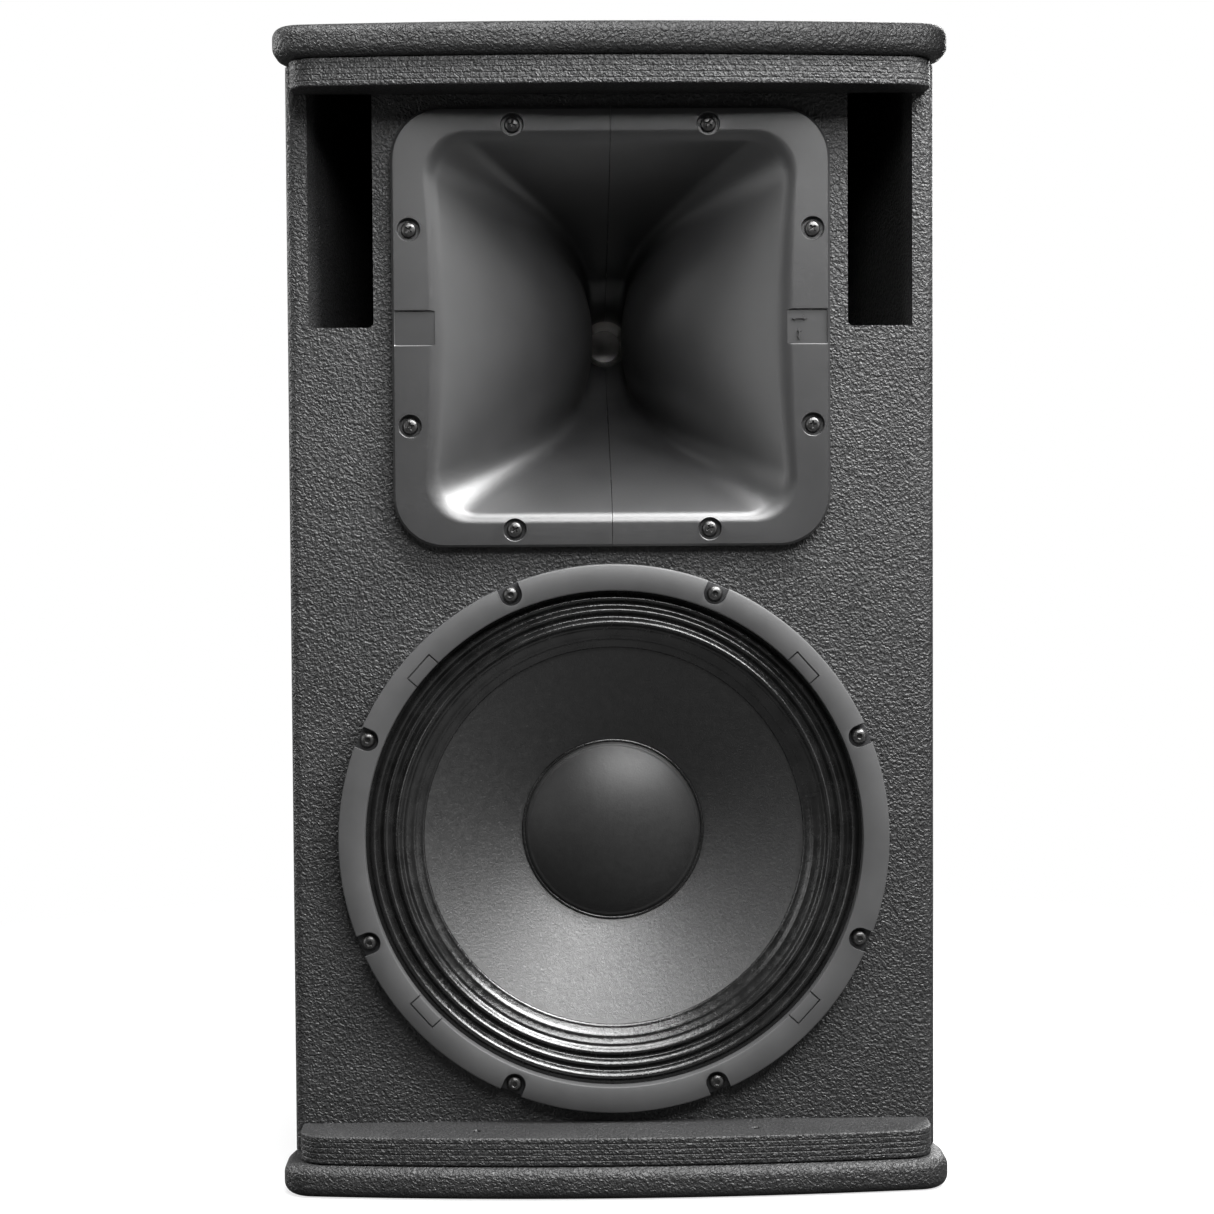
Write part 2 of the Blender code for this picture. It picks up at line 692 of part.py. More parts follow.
windows = [wedge(radians(60 * k), radians(42), 0.080, 0.150) for k in range(6)]
boolean(basket, extruded("basket_windows", windows, 0.010, 0.045, "Y"), parent=woofer_axis)
flange_holes = []
for turn in WOOFER_SCREW_TURNS:
    x = WOOFER_SCREW_CIRCLE * cos(turn)
    z = WOOFER_SCREW_CIRCLE * sin(turn)
    flange_holes.append(circle(x, z, WOOFER_SCREW_HOLE, 6))
boolean(basket, extruded("flange_holes", flange_holes, -0.010, 0.010, "Y"), parent=woofer_axis)

RING_EDGE = 0.0008
ring_profile = [
    (RING_OUTER, FLANGE_AHEAD + GAP),
    (RING_OUTER, RING_AHEAD - RING_EDGE),
    (RING_OUTER - RING_EDGE, RING_AHEAD),
    (RING_INNER + RING_EDGE, RING_AHEAD),
    (RING_INNER, RING_AHEAD - RING_EDGE),
    (RING_INNER, GAP),
    (0.1432, GAP),
    (0.1432, FLANGE_AHEAD + GAP),
]
trim_ring = put("woofer_trim_ring", turned("woofer_trim_ring", ring_profile), RING_PLASTIC, woofer_axis)


def notch(turn):
    """A slot with a round end, open to the ring's outer edge."""
    out = Vector((cos(turn), sin(turn)))
    across = Vector((-out.y, out.x))
    centre = out * WOOFER_SCREW_CIRCLE
    bends = [pi * (k / 6 - 0.5) for k in range(7)]
    end = [centre - out * NOTCH_RADIUS * cos(bend) + across * NOTCH_RADIUS * sin(bend) for bend in bends]
    lip = out * (RING_OUTER - WOOFER_SCREW_CIRCLE + 0.005)
    return [tuple(point) for point in end + [end[-1] + lip, end[0] + lip]]


notches = [notch(turn) for turn in WOOFER_SCREW_TURNS]
boolean(trim_ring, extruded("ring_notches", notches, -0.020, 0.010, "Y"), parent=woofer_axis)

WOOFER_SCREW_HEAD = 0.00445
WOOFER_SCREW_HEAD_HEIGHT = 0.0028
WOOFER_SCREW_SHANK = 0.0023
WOOFER_SCREW_LENGTH = 0.020
for number, turn in enumerate(WOOFER_SCREW_TURNS, 1):
    name = f"woofer_screw_{number}"
    mesh = screw(name, WOOFER_SCREW_HEAD, WOOFER_SCREW_HEAD_HEIGHT, WOOFER_SCREW_SHANK, WOOFER_SCREW_LENGTH)
    x = WOOFER_SCREW_CIRCLE * cos(turn)
    z = WOOFER_SCREW_CIRCLE * sin(turn)
    put(name, mesh, BLACK_STEEL, woofer_axis, (x, -FLANGE_AHEAD - GAP, z))


def cone_face(radius):
    """How far ahead of the baffle the cone's front lies at a radius."""
    return -CONE_EDGE_BACK - CONE_SLOPE * (CONE_RADIUS - radius)


CONE_WALL = 0.0009
cone_profile = [
    (CONE_RADIUS, cone_face(CONE_RADIUS)),
    (0.078, cone_face(0.078)),
    (CONE_NECK, cone_face(CONE_NECK)),
    (CONE_NECK, cone_face(CONE_NECK) - CONE_WALL),
    (0.078, cone_face(0.078) - CONE_WALL),
    (CONE_RADIUS, cone_face(CONE_RADIUS) - CONE_WALL),
]
put("woofer_cone", turned("woofer_cone", cone_profile), PAPER, woofer_axis)

SURROUND_WALL = 0.0005
pleat_line = [(0.1077, cone_face(0.1077) + GAP + SURROUND_WALL)]
pleat_line.append((0.1175, cone_face(0.1175) + GAP + SURROUND_WALL))
for k in range(2 * PLEAT_COUNT + 1):
    rise = PLEAT_HEIGHT if k % 2 else 0.0
    pleat_line.append((PLEAT_START + PLEAT_PITCH * k / 2, rise - 0.0009 + 0.00013 * k))
pleat_line.append((0.1428, 0.0))
surround_back = [(radius, ahead - SURROUND_WALL) for radius, ahead in pleat_line]
put(
    "woofer_surround",
    turned("woofer_surround", pleat_line + surround_back[::-1]),
    TREATED_CLOTH,
    woofer_axis,
)

DUST_CAP_WALL = 0.0008
cap_steps = 5
cap_foot = cone_face(DUST_CAP_RADIUS) + GAP
dome_radius = (DUST_CAP_RADIUS**2 + DUST_CAP_HEIGHT**2) / (2 * DUST_CAP_HEIGHT)


def dome_height(radius):
    """Height of the dust cap's dome above its foot."""
    return (dome_radius**2 - radius**2) ** 0.5 - dome_radius + DUST_CAP_HEIGHT


cap_radii = [DUST_CAP_RADIUS * k / cap_steps for k in range(cap_steps + 1)]
cap_front = [(radius, cap_foot + dome_height(radius) + DUST_CAP_WALL) for radius in cap_radii]
cap_back = [(radius, cap_foot + dome_height(radius)) for radius in reversed(cap_radii)]
put("woofer_dust_cap", turned("woofer_dust_cap", cap_front + cap_back, 24), PAPER, woofer_axis)

FORMER_INNER = 0.0377
FORMER_OUTER = 0.0382
WINDING_OUTER = 0.0389
coil_profile = [
    (FORMER_OUTER, -0.041),
    (FORMER_OUTER, -0.0633),
    (WINDING_OUTER, -0.0633),
    (WINDING_OUTER, -0.0773),
    (FORMER_OUTER, -0.0773),
    (FORMER_OUTER, -0.080),
    (FORMER_INNER, -0.080),
    (FORMER_INNER, -0.041),
]
put("voice_coil", turned("voice_coil", coil_profile), COPPER, woofer_axis)

spider_profile = [(0.0385, -0.0494), (0.0915, -0.0494), (0.0915, -0.0500), (0.0385, -0.0500)]
put("woofer_spider", turned("woofer_spider", spider_profile), SPIDER_CLOTH, woofer_axis)

PLATE_FRONT = BASKET_REAR - GAP
PLATE_REAR = PLATE_FRONT - 0.008
MAGNET_FRONT = PLATE_REAR - GAP
MAGNET_REAR = MAGNET_FRONT - 0.018
POLE_FRONT = MAGNET_REAR - GAP
POLE_REAR = POLE_FRONT - 0.008
top_plate = [(0.0394, PLATE_FRONT), (0.088, PLATE_FRONT), (0.088, PLATE_REAR), (0.0394, PLATE_REAR)]
put("woofer_top_plate", turned("woofer_top_plate", top_plate), PLATED_STEEL, woofer_axis)
magnet = [(0.046, MAGNET_FRONT), (0.090, MAGNET_FRONT), (0.090, MAGNET_REAR), (0.046, MAGNET_REAR)]
put("woofer_magnet", turned("woofer_magnet", magnet), FERRITE, woofer_axis)
pole = [
    (0.012, PLATE_FRONT),
    (0.0372, PLATE_FRONT),
    (0.0372, POLE_FRONT),
    (0.084, POLE_FRONT),
    (0.084, POLE_REAR),
    (0.012, POLE_REAR),
]
put("woofer_pole_plate", turned("woofer_pole_plate", pole), PLATED_STEEL, woofer_axis)

terminal_block = extruded("woofer_terminal", [box_outline(-0.1035, 0.0, 0.0045, 0.010)], 0.049, 0.060, "Y")
put("woofer_terminal", terminal_block, BLACK_PLASTIC, woofer_axis)

# Input plate: a dished moulding in the rear panel, with sockets, terminals and a mode switch on its floor

panel_axis = axis_empty("panel_axis", (0.0, DISH_FLOOR, PANEL_Z))
plate_front = DISH_DEPTH - DISH_WALL
flange_outline = box_outline(0.0, 0.0, PANEL_HALF_WIDTH, PANEL_HALF_HEIGHT, 0.008)
input_plate = put(
    "input_plate",
    extruded("input_plate", [flange_outline], plate_front, DISH_DEPTH, "Y"),
    BLACK_PLASTIC,
    panel_axis,
)
dish_outside = box_outline(0.0, 0.0, DISH_HALF_WIDTH + DISH_WALL, DISH_HALF_HEIGHT + DISH_WALL, 0.006, 2)
boolean(
    input_plate,
    extruded("dish_outside", [dish_outside], -DISH_WALL, plate_front + 0.001, "Y"),
    "UNION",
    panel_axis,
)
dish_inside = box_outline(0.0, 0.0, DISH_HALF_WIDTH, DISH_HALF_HEIGHT, 0.004, 2)
boolean(input_plate, extruded("dish_inside", [dish_inside], 0.0, DISH_DEPTH + 0.01, "Y"), parent=panel_axis)

SOCKET_BODY = 0.0125
SOCKET_PLACES = [(0.052, 0.020), (0.052, -0.020)]
SWITCH_PLACE = (-0.030, -0.030)
SWITCH_TRAVEL = 0.006
SWITCH_HALF = 0.004
slot_x = SWITCH_PLACE[0] + SWITCH_TRAVEL / 2
floor_holes = [circle(x, z, SOCKET_BODY + GAP, 16) for x, z in SOCKET_PLACES]
floor_holes.append(box_outline(slot_x, SWITCH_PLACE[1], SWITCH_HALF + SWITCH_TRAVEL / 2 + 0.0005, 0.0028))
boolean(input_plate, extruded("floor_holes", floor_holes, -0.010, 0.010, "Y"), parent=panel_axis)

socket_profile = [
    (0.0, 0.001),
    (0.004, 0.001),
    (0.004, -0.015),
    (0.011, -0.015),
    (0.011, 0.0025),
    (0.0155, 0.0025),
    (0.0155, GAP),
    (SOCKET_BODY, GAP),
    (SOCKET_BODY, -0.020),
    (0.0, -0.020),
]
for number, (x, z) in enumerate(SOCKET_PLACES, 1):
    name = f"speaker_socket_{number}"
    mesh = turned(name, socket_profile, 16)
    mesh.transform(Matrix.Rotation(pi, 4, "Z"))
    put(name, mesh, BLUE_PLASTIC, panel_axis, (x, 0.0, z))

# Mode switch: its knob comes through a slot in the dish, and a wider foot behind holds it in

knob = box_outline(0.0, 0.0, SWITCH_HALF, 0.0024)
foot = box_outline(0.0, 0.0, SWITCH_HALF + 0.002, 0.005)
switch_mesh = extruded("mode_switch", [knob], -DISH_WALL - 0.002, 0.003, "Y")
mode_switch = put("mode_switch", switch_mesh, BLACK_PLASTIC, panel_axis, (SWITCH_PLACE[0], 0.0, SWITCH_PLACE[1]))
foot_mesh = extruded("switch_foot", [foot], -DISH_WALL - 0.003, -DISH_WALL - GAP, "Y")
boolean(mode_switch, foot_mesh, "UNION", panel_axis, (SWITCH_PLACE[0], 0.0, SWITCH_PLACE[1]))

# Terminal strip with lugs at its ends, and the cover that hinges between them

STRIP_X = -0.028
STRIP_Z = 0.014
STRIP_HALF_LENGTH = 0.033
STRIP_HALF_HEIGHT = 0.011
STRIP_FRONT = 0.011
LUG_HALF = 0.0013
HINGE_RADIUS = 0.0012
hinge_z = STRIP_Z + STRIP_HALF_HEIGHT + 0.0025
hinge_y = STRIP_FRONT + 0.0022
strip_block = box_outline(STRIP_X, STRIP_Z, STRIP_HALF_LENGTH, STRIP_HALF_HEIGHT)
terminal_strip = put(
    "terminal_strip",
    extruded("terminal_strip", [strip_block], GAP, STRIP_FRONT, "Y"),
    BLACK_PLASTIC,
    panel_axis,
)
lug_low = STRIP_Z + STRIP_HALF_HEIGHT - 0.003
lug_high = hinge_z + 0.0028
lug_middle = (lug_low + lug_high) / 2
lugs = []
for side in (-1, 1):
    lug_x = STRIP_X + side * (STRIP_HALF_LENGTH - LUG_HALF)
    lugs.append(box_outline(lug_x, lug_middle, LUG_HALF, (lug_high - lug_low) / 2))
boolean(terminal_strip, extruded("strip_lugs", lugs, 0.004, hinge_y + 0.0028, "Y"), "UNION", panel_axis)


def rod(name, length, radius, steps):
    """A round rod along X about the origin."""
    profile = [(0.0, length / 2), (radius, length / 2), (radius, -length / 2), (0.0, -length / 2)]
    mesh = turned(name, profile, steps)
    mesh.transform(Matrix.Rotation(pi / 2, 4, "Z"))
    return mesh


hinge_place = (STRIP_X, hinge_y, hinge_z)
pin_bore = rod("pin_bore", 2 * STRIP_HALF_LENGTH + 0.01, HINGE_RADIUS + 0.0004, 8)
boolean(terminal_strip, pin_bore, parent=panel_axis, location=hinge_place)
cover_half = STRIP_HALF_LENGTH - 2 * LUG_HALF - 0.0008
cover_low = -2 * STRIP_HALF_HEIGHT - 0.0025
cover_plate = [
    (-cover_half, cover_low),
    (cover_half, cover_low),
    (cover_half, 0.0008),
    (-cover_half, 0.0008),
]
terminal_cover = put(
    "terminal_cover",
    extruded("terminal_cover", [cover_plate], -0.0004, HINGE_RADIUS, "Y"),
    BLACK_PLASTIC,
    panel_axis,
    hinge_place,
)
pin = rod("cover_pin", 2 * STRIP_HALF_LENGTH - 0.0006, HINGE_RADIUS, 8)
boolean(terminal_cover, pin, "UNION", panel_axis, hinge_place)

# Crossover on the bottom panel

BOARD_LOW = CAP_THICKNESS + GAP
BOARD_HIGH = BOARD_LOW + 0.006
board_plan = box_outline(0.0, 0.075, 0.080, 0.050, 0.004, 2)
put("crossover_board", extruded("crossover_board", [board_plan], BOARD_LOW, BOARD_HIGH), BOARD)


def coil(name, outer, inner, height, x, y):
    """An air-cored inductor that stands on the board."""
    profile = [(inner, 0.0), (outer, 0.0), (outer, -height), (inner, -height)]
    mesh = turned(name, profile, 20)
    mesh.transform(Matrix.Rotation(pi / 2, 4, "X"))
    put(name, mesh, COPPER, location=(x, y, BOARD_HIGH + GAP))


coil("lf_inductor", 0.028, 0.012, 0.026, -0.040, 0.082)
coil("hf_inductor", 0.019, 0.009, 0.018, 0.050, 0.100)
capacitor = rod("crossover_capacitor", 0.046, 0.012, 16)
put("crossover_capacitor", capacitor, CAPACITOR_FILM, location=(0.045, 0.052, BOARD_HIGH + GAP + 0.012))

# Internal leads, each held along its way by the cabinet's walls


def lead(name, route, radius, count):
    """A tube on a smooth curve through the route's points."""
    points = [Vector(point) for point in route]
    spans = len(points) - 1
    path = []
    for k in range(count):
        span, part = divmod(spans * k / (count - 1), 1)
        here = min(int(span), spans - 1)
        part = part if span < spans else 1.0
        a = points[max(here - 1, 0)]
        b = points[here]
        c = points[here + 1]
        d = points[min(here + 2, spans)]
        pull = (2 * a - 5 * b + 4 * c - d) * part**2 + (3 * b - a - 3 * c + d) * part**3
        path.append(b + 0.5 * ((c - a) * part + pull))
    curve = bpy.data.curves.new(name, "CURVE")
    curve.dimensions = "3D"
    curve.bevel_depth = radius
    curve.bevel_resolution = 2
    curve.use_fill_caps = True
    spline = curve.splines.new("POLY")
    spline.points.add(count - 1)
    for point, place in zip(spline.points, path):
        point.co = (*place, 1.0)
    curve.materials.append(CABLE)
    bpy.context.collection.objects.link(bpy.data.objects.new(name, curve))


LF_ROUTE = [
    (-0.070, 0.040, BOARD_HIGH + 2 * GAP),
    (-0.070, 0.040, 0.034),
    (-0.074, 0.036, 0.048),
    (-0.085, 0.015, 0.058),
    (-0.105, -0.030, 0.062),
    (-0.116, -0.062, 0.085),
    (-0.114, -0.074, 0.130),
    (-0.106, -0.0755, 0.165),
    (-0.1035, -0.0755, WOOFER_Z - 0.0104),
]
HF_ROUTE = [
    (-0.072, 0.112, BOARD_HIGH + 2 * GAP),
    (-0.072, 0.112, 0.034),
    (-0.078, 0.115, 0.052),
    (-0.092, 0.122, 0.080),
    (-0.098, 0.124, 0.150),
    (-0.098, 0.122, 0.230),
    (-0.088, 0.112, 0.290),
    (-0.064, 0.090, 0.345),
    (-0.040, 0.080, 0.385),
    (-0.022, 0.0765, 0.412),
    (-0.016, 0.0765, HORN_Z - 0.0478),
]
lead("lf_lead", LF_ROUTE, 0.0025, 28)
lead("hf_lead", HF_ROUTE, 0.0022, 38)
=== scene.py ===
"""Looks of a two-way loudspeaker cabinet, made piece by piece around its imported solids.

Metres, +Z up. The front faces -Y, and the origin is on the floor under the middle of the cabinet.
"""

import math

import bmesh
import bpy
import numpy as np
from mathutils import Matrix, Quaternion, Vector


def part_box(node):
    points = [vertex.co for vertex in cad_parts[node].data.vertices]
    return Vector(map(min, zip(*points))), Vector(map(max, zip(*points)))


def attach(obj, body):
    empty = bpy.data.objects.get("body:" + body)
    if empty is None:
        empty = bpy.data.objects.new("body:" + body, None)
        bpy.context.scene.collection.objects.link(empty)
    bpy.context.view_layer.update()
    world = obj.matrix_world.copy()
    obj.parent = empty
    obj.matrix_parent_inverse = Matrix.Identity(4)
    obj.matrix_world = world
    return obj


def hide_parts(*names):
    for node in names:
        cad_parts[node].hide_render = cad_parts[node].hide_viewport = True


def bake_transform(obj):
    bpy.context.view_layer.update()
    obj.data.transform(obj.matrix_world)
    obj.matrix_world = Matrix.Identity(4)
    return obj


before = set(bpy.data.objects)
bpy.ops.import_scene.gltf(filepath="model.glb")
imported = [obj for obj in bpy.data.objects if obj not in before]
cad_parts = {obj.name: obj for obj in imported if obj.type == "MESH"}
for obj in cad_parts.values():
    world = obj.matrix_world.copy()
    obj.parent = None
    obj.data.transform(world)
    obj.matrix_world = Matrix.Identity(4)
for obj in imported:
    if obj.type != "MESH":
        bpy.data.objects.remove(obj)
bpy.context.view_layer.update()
scene = bpy.context.scene

# Camera: a 76 mm lens 1.45 m in front of the baffle, a little above the cabinet's middle and a little to its
# left. The lens is shifted down slightly, so that the cabinet's sides stay near upright.

CAMERA_PLACE = Vector((-0.031, -1.580, 0.402))
CAMERA_TARGET = Vector((-0.0032, -0.130, 0.3434))
CAMERA_ROLL = math.radians(-0.35)
camera_data = bpy.data.cameras.new("camera")
camera_data.lens = 76.3
camera_data.sensor_width = 36.0
camera_data.shift_y = -0.025
camera_data.clip_start = 0.05
camera = bpy.data.objects.new("camera", camera_data)
camera.location = CAMERA_PLACE
sight = (CAMERA_TARGET - CAMERA_PLACE).to_track_quat("-Z", "Y")
camera.rotation_euler = (sight @ Quaternion((0.0, 0.0, 1.0), CAMERA_ROLL)).to_euler()
scene.collection.objects.link(camera)
scene.camera = camera

# Studio: a pale sweep of floor, a large soft key light high up on the right, one over the front, weak ones at the
# left and right, one over the top and two behind. The surroundings are pale where they are seen, and dim to the
# light that bounces off them, which would wash out the black finishes.


def node(tree, kind, inputs=(), **settings):
    """A shader node with its settings; inputs give each socket a value or another node's output."""
    made = tree.nodes.new("ShaderNode" + kind)
    for name, value in settings.items():
        setattr(made, name, value)
    for key, value in dict(inputs).items():
        socket = made.inputs[key]
        if isinstance(value, bpy.types.NodeSocket):
            tree.links.new(value, socket)
        else:
            socket.default_value = value
    return made


def ramp(tree, factor, *stops):
    """A blend between greys or colours, each at its place along the factor; gives the colour."""
    made = node(tree, "ValToRGB", {"Fac": factor})
    elements = made.color_ramp.elements
    for place, _ in stops[2:]:
        elements.new(place)
    for element, (place, tone) in zip(elements, stops):
        element.position = place
        element.color = (*tone, 1.0) if isinstance(tone, tuple) else (tone, tone, tone, 1.0)
    return made.outputs["Color"]


def grain(tree, scale, detail=3.0, roughness=0.5, distortion=0.0, stretch=(1.0, 1.0, 1.0)):
    """Noise in the object's own metres, drawn out along an axis where its stretch is below 1."""
    place = node(tree, "TexCoord").outputs["Object"]
    if stretch != (1.0, 1.0, 1.0):
        place = node(tree, "Mapping", {"Vector": place, "Scale": stretch}).outputs["Vector"]
    values = {
        "Vector": place, "Scale": scale, "Detail": detail, "Roughness": roughness, "Distortion": distortion
    }
    return node(tree, "TexNoise", values).outputs["Fac"]


def cells(tree, scale, feature="F1", smoothness=0.6):
    """Distance to the nearest of scattered points, in the object's own metres."""
    place = node(tree, "TexCoord").outputs["Object"]
    made = node(tree, "TexVoronoi", {"Vector": place, "Scale": scale}, feature=feature)
    if feature == "SMOOTH_F1":
        made.inputs["Smoothness"].default_value = smoothness
    return made.outputs["Distance"]


def spread(tree, factor, low, high, start=0.0, end=1.0):
    """The factor's span from start to end, carried over to low to high."""
    values = {"Value": factor, "From Min": start, "From Max": end, "To Min": low, "To Max": high}
    return node(tree, "MapRange", values).outputs["Result"]


def weigh(tree, first, second, operation="MULTIPLY"):
    """Two values multiplied, added or otherwise joined."""
    return node(tree, "Math", {0: first, 1: second}, operation=operation).outputs[0]


def new_finish(name, colour, roughness, bump=None, height=0.0003, **fixed):
    """A finish from three functions of its node tree; values that are the same all over go on the shader."""
    made = bpy.data.materials.new(name)
    made.use_nodes = True
    tree = made.node_tree
    shader = tree.nodes["Principled BSDF"]
    for key, value in fixed.items():
        shader.inputs[key.replace("_", " ")].default_value = value
    tree.links.new(colour(tree), shader.inputs["Base Color"])
    tree.links.new(roughness(tree), shader.inputs["Roughness"])
    if bump is not None:
        raised = node(tree, "Bump", {"Height": bump(tree), "Strength": 1.0, "Distance": height})
        tree.links.new(raised.outputs["Normal"], shader.inputs["Normal"])
    return made


def mottled(name, dark, light, mottle, gloss, rough, relief, height, **fixed):
    """A finish that drifts between two tones, with noise of its own for its roughness and for its relief."""
    return new_finish(
        name,
        lambda tree: ramp(tree, grain(tree, *mottle), (0.3, dark), (0.7, light)),
        lambda tree: spread(tree, grain(tree, *gloss), *rough),
        relief if callable(relief) else lambda tree: grain(tree, *relief),
        height,
        **fixed,
    )


FLOOR_HALF = 6.0
floor_steps = np.linspace(-FLOOR_HALF, FLOOR_HALF, 25)


def grid_mesh(name, points, wrap_rows=False, wrap_columns=False):
    """Quads over points[row, column]; wrapping joins the last row or column to the first."""
    rows, columns = points.shape[:2]
    index = np.arange(rows * columns).reshape(rows, columns)
    if wrap_rows:
        index = np.vstack([index, index[:1]])
    if wrap_columns:
        index = np.hstack([index, index[:, :1]])
    quads = np.stack([index[:-1, :-1], index[1:, :-1], index[1:, 1:], index[:-1, 1:]], axis=-1).reshape(-1, 4)
    mesh = bpy.data.meshes.new(name)
    mesh.vertices.add(rows * columns)
    mesh.vertices.foreach_set("co", points.astype(np.float32).ravel())
    mesh.loops.add(quads.size)
    mesh.loops.foreach_set("vertex_index", quads.astype(np.int32).ravel())
    mesh.polygons.add(len(quads))
    mesh.polygons.foreach_set("loop_start", np.arange(0, quads.size, 4, dtype=np.int32))
    mesh.update(calc_edges=True)
    return mesh


floor_x, floor_y = np.meshgrid(floor_steps, floor_steps)
floor_mesh = grid_mesh("floor", np.stack([floor_x, floor_y, np.zeros_like(floor_x)], axis=-1))
floor_mesh.flip_normals()


def floor_tone(tree):
    """Pale where it is looked at, and nearly black to the light that would bounce off it onto the cabinet."""
    speckle = spread(tree, grain(tree, 2.0), 0.94, 1.0)
    looked_at = weigh(tree, speckle, node(tree, "LightPath").outputs["Is Camera Ray"])
    return ramp(tree, looked_at, (0.0, 0.03), (1.0, 0.84))


floor_finish = new_finish(
    "studio_floor",
    floor_tone,
    lambda tree: spread(tree, grain(tree, 40.0), 0.55, 0.7),
    lambda tree: grain(tree, 300.0),
    0.0001,
)
floor_tree = floor_finish.node_tree
from_middle = node(
    floor_tree, "VectorMath", {0: node(floor_tree, "TexCoord").outputs["Object"]}, operation="LENGTH"
)
far_share = spread(floor_tree, from_middle.outputs["Value"], 0.72, 1.0, 0.30, 0.9)
far_share = weigh(floor_tree, far_share, node(floor_tree, "LightPath").outputs["Is Camera Ray"])
white = node(floor_tree, "Emission", {"Color": (1.0, 1.0, 1.0, 1.0), "Strength": 1.0})
paler = node(floor_tree, "MixShader", {0: far_share, 2: white.outputs[0]})
floor_tree.links.new(floor_tree.nodes["Principled BSDF"].outputs[0], paler.inputs[1])
floor_tree.links.new(paler.outputs[0], floor_tree.nodes["Material Output"].inputs["Surface"])
floor_mesh.materials.append(floor_finish)
floor = bpy.data.objects.new("floor", floor_mesh)
scene.collection.objects.link(floor)


def soft_light(name, place, target, size, power):
    """A rectangular soft light turned towards a point."""
    data = bpy.data.lights.new(name, "AREA")
    data.shape = "RECTANGLE"
    data.size, data.size_y = size
    data.energy = power
    light = bpy.data.objects.new(name, data)
    light.location = place
    light.rotation_euler = (Vector(target) - Vector(place)).to_track_quat("-Z", "Y").to_euler()
    scene.collection.objects.link(light)
    return light


key_light = soft_light("key_light", (0.74, -0.55, 1.45), (0.0, -0.22, 0.25), (0.6, 0.9), 76.0)
soft_light("front_light", (0.20, -1.05, 1.16), (0.0, -0.13, 0.44), (0.8, 0.4), 21.0)
soft_light("left_light", (-1.25, -0.75, 0.55), (0.0, -0.13, 0.42), (0.4, 0.9), 4.0)
soft_light("right_light", (1.25, -0.75, 0.45), (0.0, -0.13, 0.42), (0.4, 0.8), 2.5)
soft_light("top_light", (-0.15, -0.40, 1.65), (0.0, -0.05, 0.60), (1.0, 0.5), 32.0)
soft_light("rear_light", (0.8, 1.9, 1.2), (0.0, 0.17, 0.30), (1.2, 1.2), 60.0)
soft_light("rear_left_light", (-1.9, 0.9, 0.9), (0.0, 0.0, 0.30), (0.8, 1.2), 30.0)

SEEN_TONE = 1.0
DIM_TONE = 0.03
world = bpy.data.worlds.new("studio")
world.use_nodes = True
scene.world = world
around = world.node_tree
backdrop = around.nodes["Background"]
seen = node(around, "LightPath").outputs["Is Camera Ray"]
around.links.new(spread(around, seen, DIM_TONE, SEEN_TONE), backdrop.inputs["Strength"])
backdrop.inputs["Color"].default_value = (1.0, 1.0, 1.0, 1.0)
scene.view_settings.view_transform = "Standard"

# Top and bottom panels: plywood caps with a bowed front and rounded long edges, screwed and glued over the box and
# sprayed all over with a thick black textured coating. The top one carries two M10 rigging points.

CAP_EDGE = 0.0065
CAP_CORNER = 0.018
CAP_REAR_CORNER = 0.012
BOW_RADIUS = 1.335


def filleted(corners, steps=8):
    """A closed outline with each (x, y, radius) corner rounded by an arc that touches both its sides."""
    outline = []
    for index, (x, y, radius) in enumerate(corners):
        corner = np.array((x, y))
        if radius == 0.0:
            outline.append(corner[None])
            continue
        before = np.array(corners[index - 1][:2]) - corner
        after = np.array(corners[(index + 1) % len(corners)][:2]) - corner
        before = before / np.hypot(*before)
        after = after / np.hypot(*after)
        half = math.acos(float(np.clip(before @ after, -1.0, 1.0))) / 2
        middle = (before + after) / np.hypot(*(before + after))
        centre = corner + middle * radius / math.sin(half)
        first = corner + before * radius / math.tan(half) - centre
        last = corner + after * radius / math.tan(half) - centre
        begin = math.atan2(first[1], first[0])
        sweep = (math.atan2(last[1], last[0]) - begin + math.pi) % (2 * math.pi) - math.pi
        turn = begin + sweep * np.linspace(0.0, 1.0, steps + 1)
        outline.append(centre + radius * np.stack([np.cos(turn), np.sin(turn)], axis=-1))
    return np.concatenate(outline)


def inset(outline, distance):
    """The outline moved inwards by a distance, each point along the mean of its two sides' normals."""
    ahead = np.roll(outline, -1, axis=0) - outline
    ahead /= np.maximum(np.hypot(ahead[:, 0], ahead[:, 1]), 1e-9)[:, None]
    behind = np.roll(ahead, 1, axis=0)
    normal = np.stack([-(ahead + behind)[:, 1], (ahead + behind)[:, 0]], axis=-1)
    normal /= np.hypot(normal[:, 0], normal[:, 1])[:, None]
    share = np.maximum((normal * np.stack([-ahead[:, 1], ahead[:, 0]], axis=-1)).sum(axis=1), 0.5)
    area = (outline[:, 0] * np.roll(outline[:, 1], -1) - np.roll(outline[:, 0], -1) * outline[:, 1]).sum()
    return outline + normal * (distance / share)[:, None] * math.copysign(1.0, area)


def stacked(name, rings, wrap=False):
    """A closed skin through rings of points: quads between rings, and one flat face over each open end."""
    points = np.stack(rings)
    mesh = grid_mesh(name, points, wrap_rows=wrap, wrap_columns=True)
    shape = bmesh.new()
    shape.from_mesh(mesh)
    if not wrap:
        shape.verts.ensure_lookup_table()
        count = points.shape[1]
        total = points.shape[0] * count
        for first in (0, total - count):
            if np.ptp(points.reshape(-1, 3)[first : first + count], axis=0).max() > 1e-6:
                shape.faces.new([shape.verts[first + k] for k in range(count)])
    bmesh.ops.remove_doubles(shape, verts=shape.verts, dist=2e-6)
    bmesh.ops.dissolve_degenerate(shape, edges=shape.edges, dist=1e-7)
    bmesh.ops.recalc_face_normals(shape, faces=shape.faces)
    shape.to_mesh(mesh)
    shape.free()
    return mesh


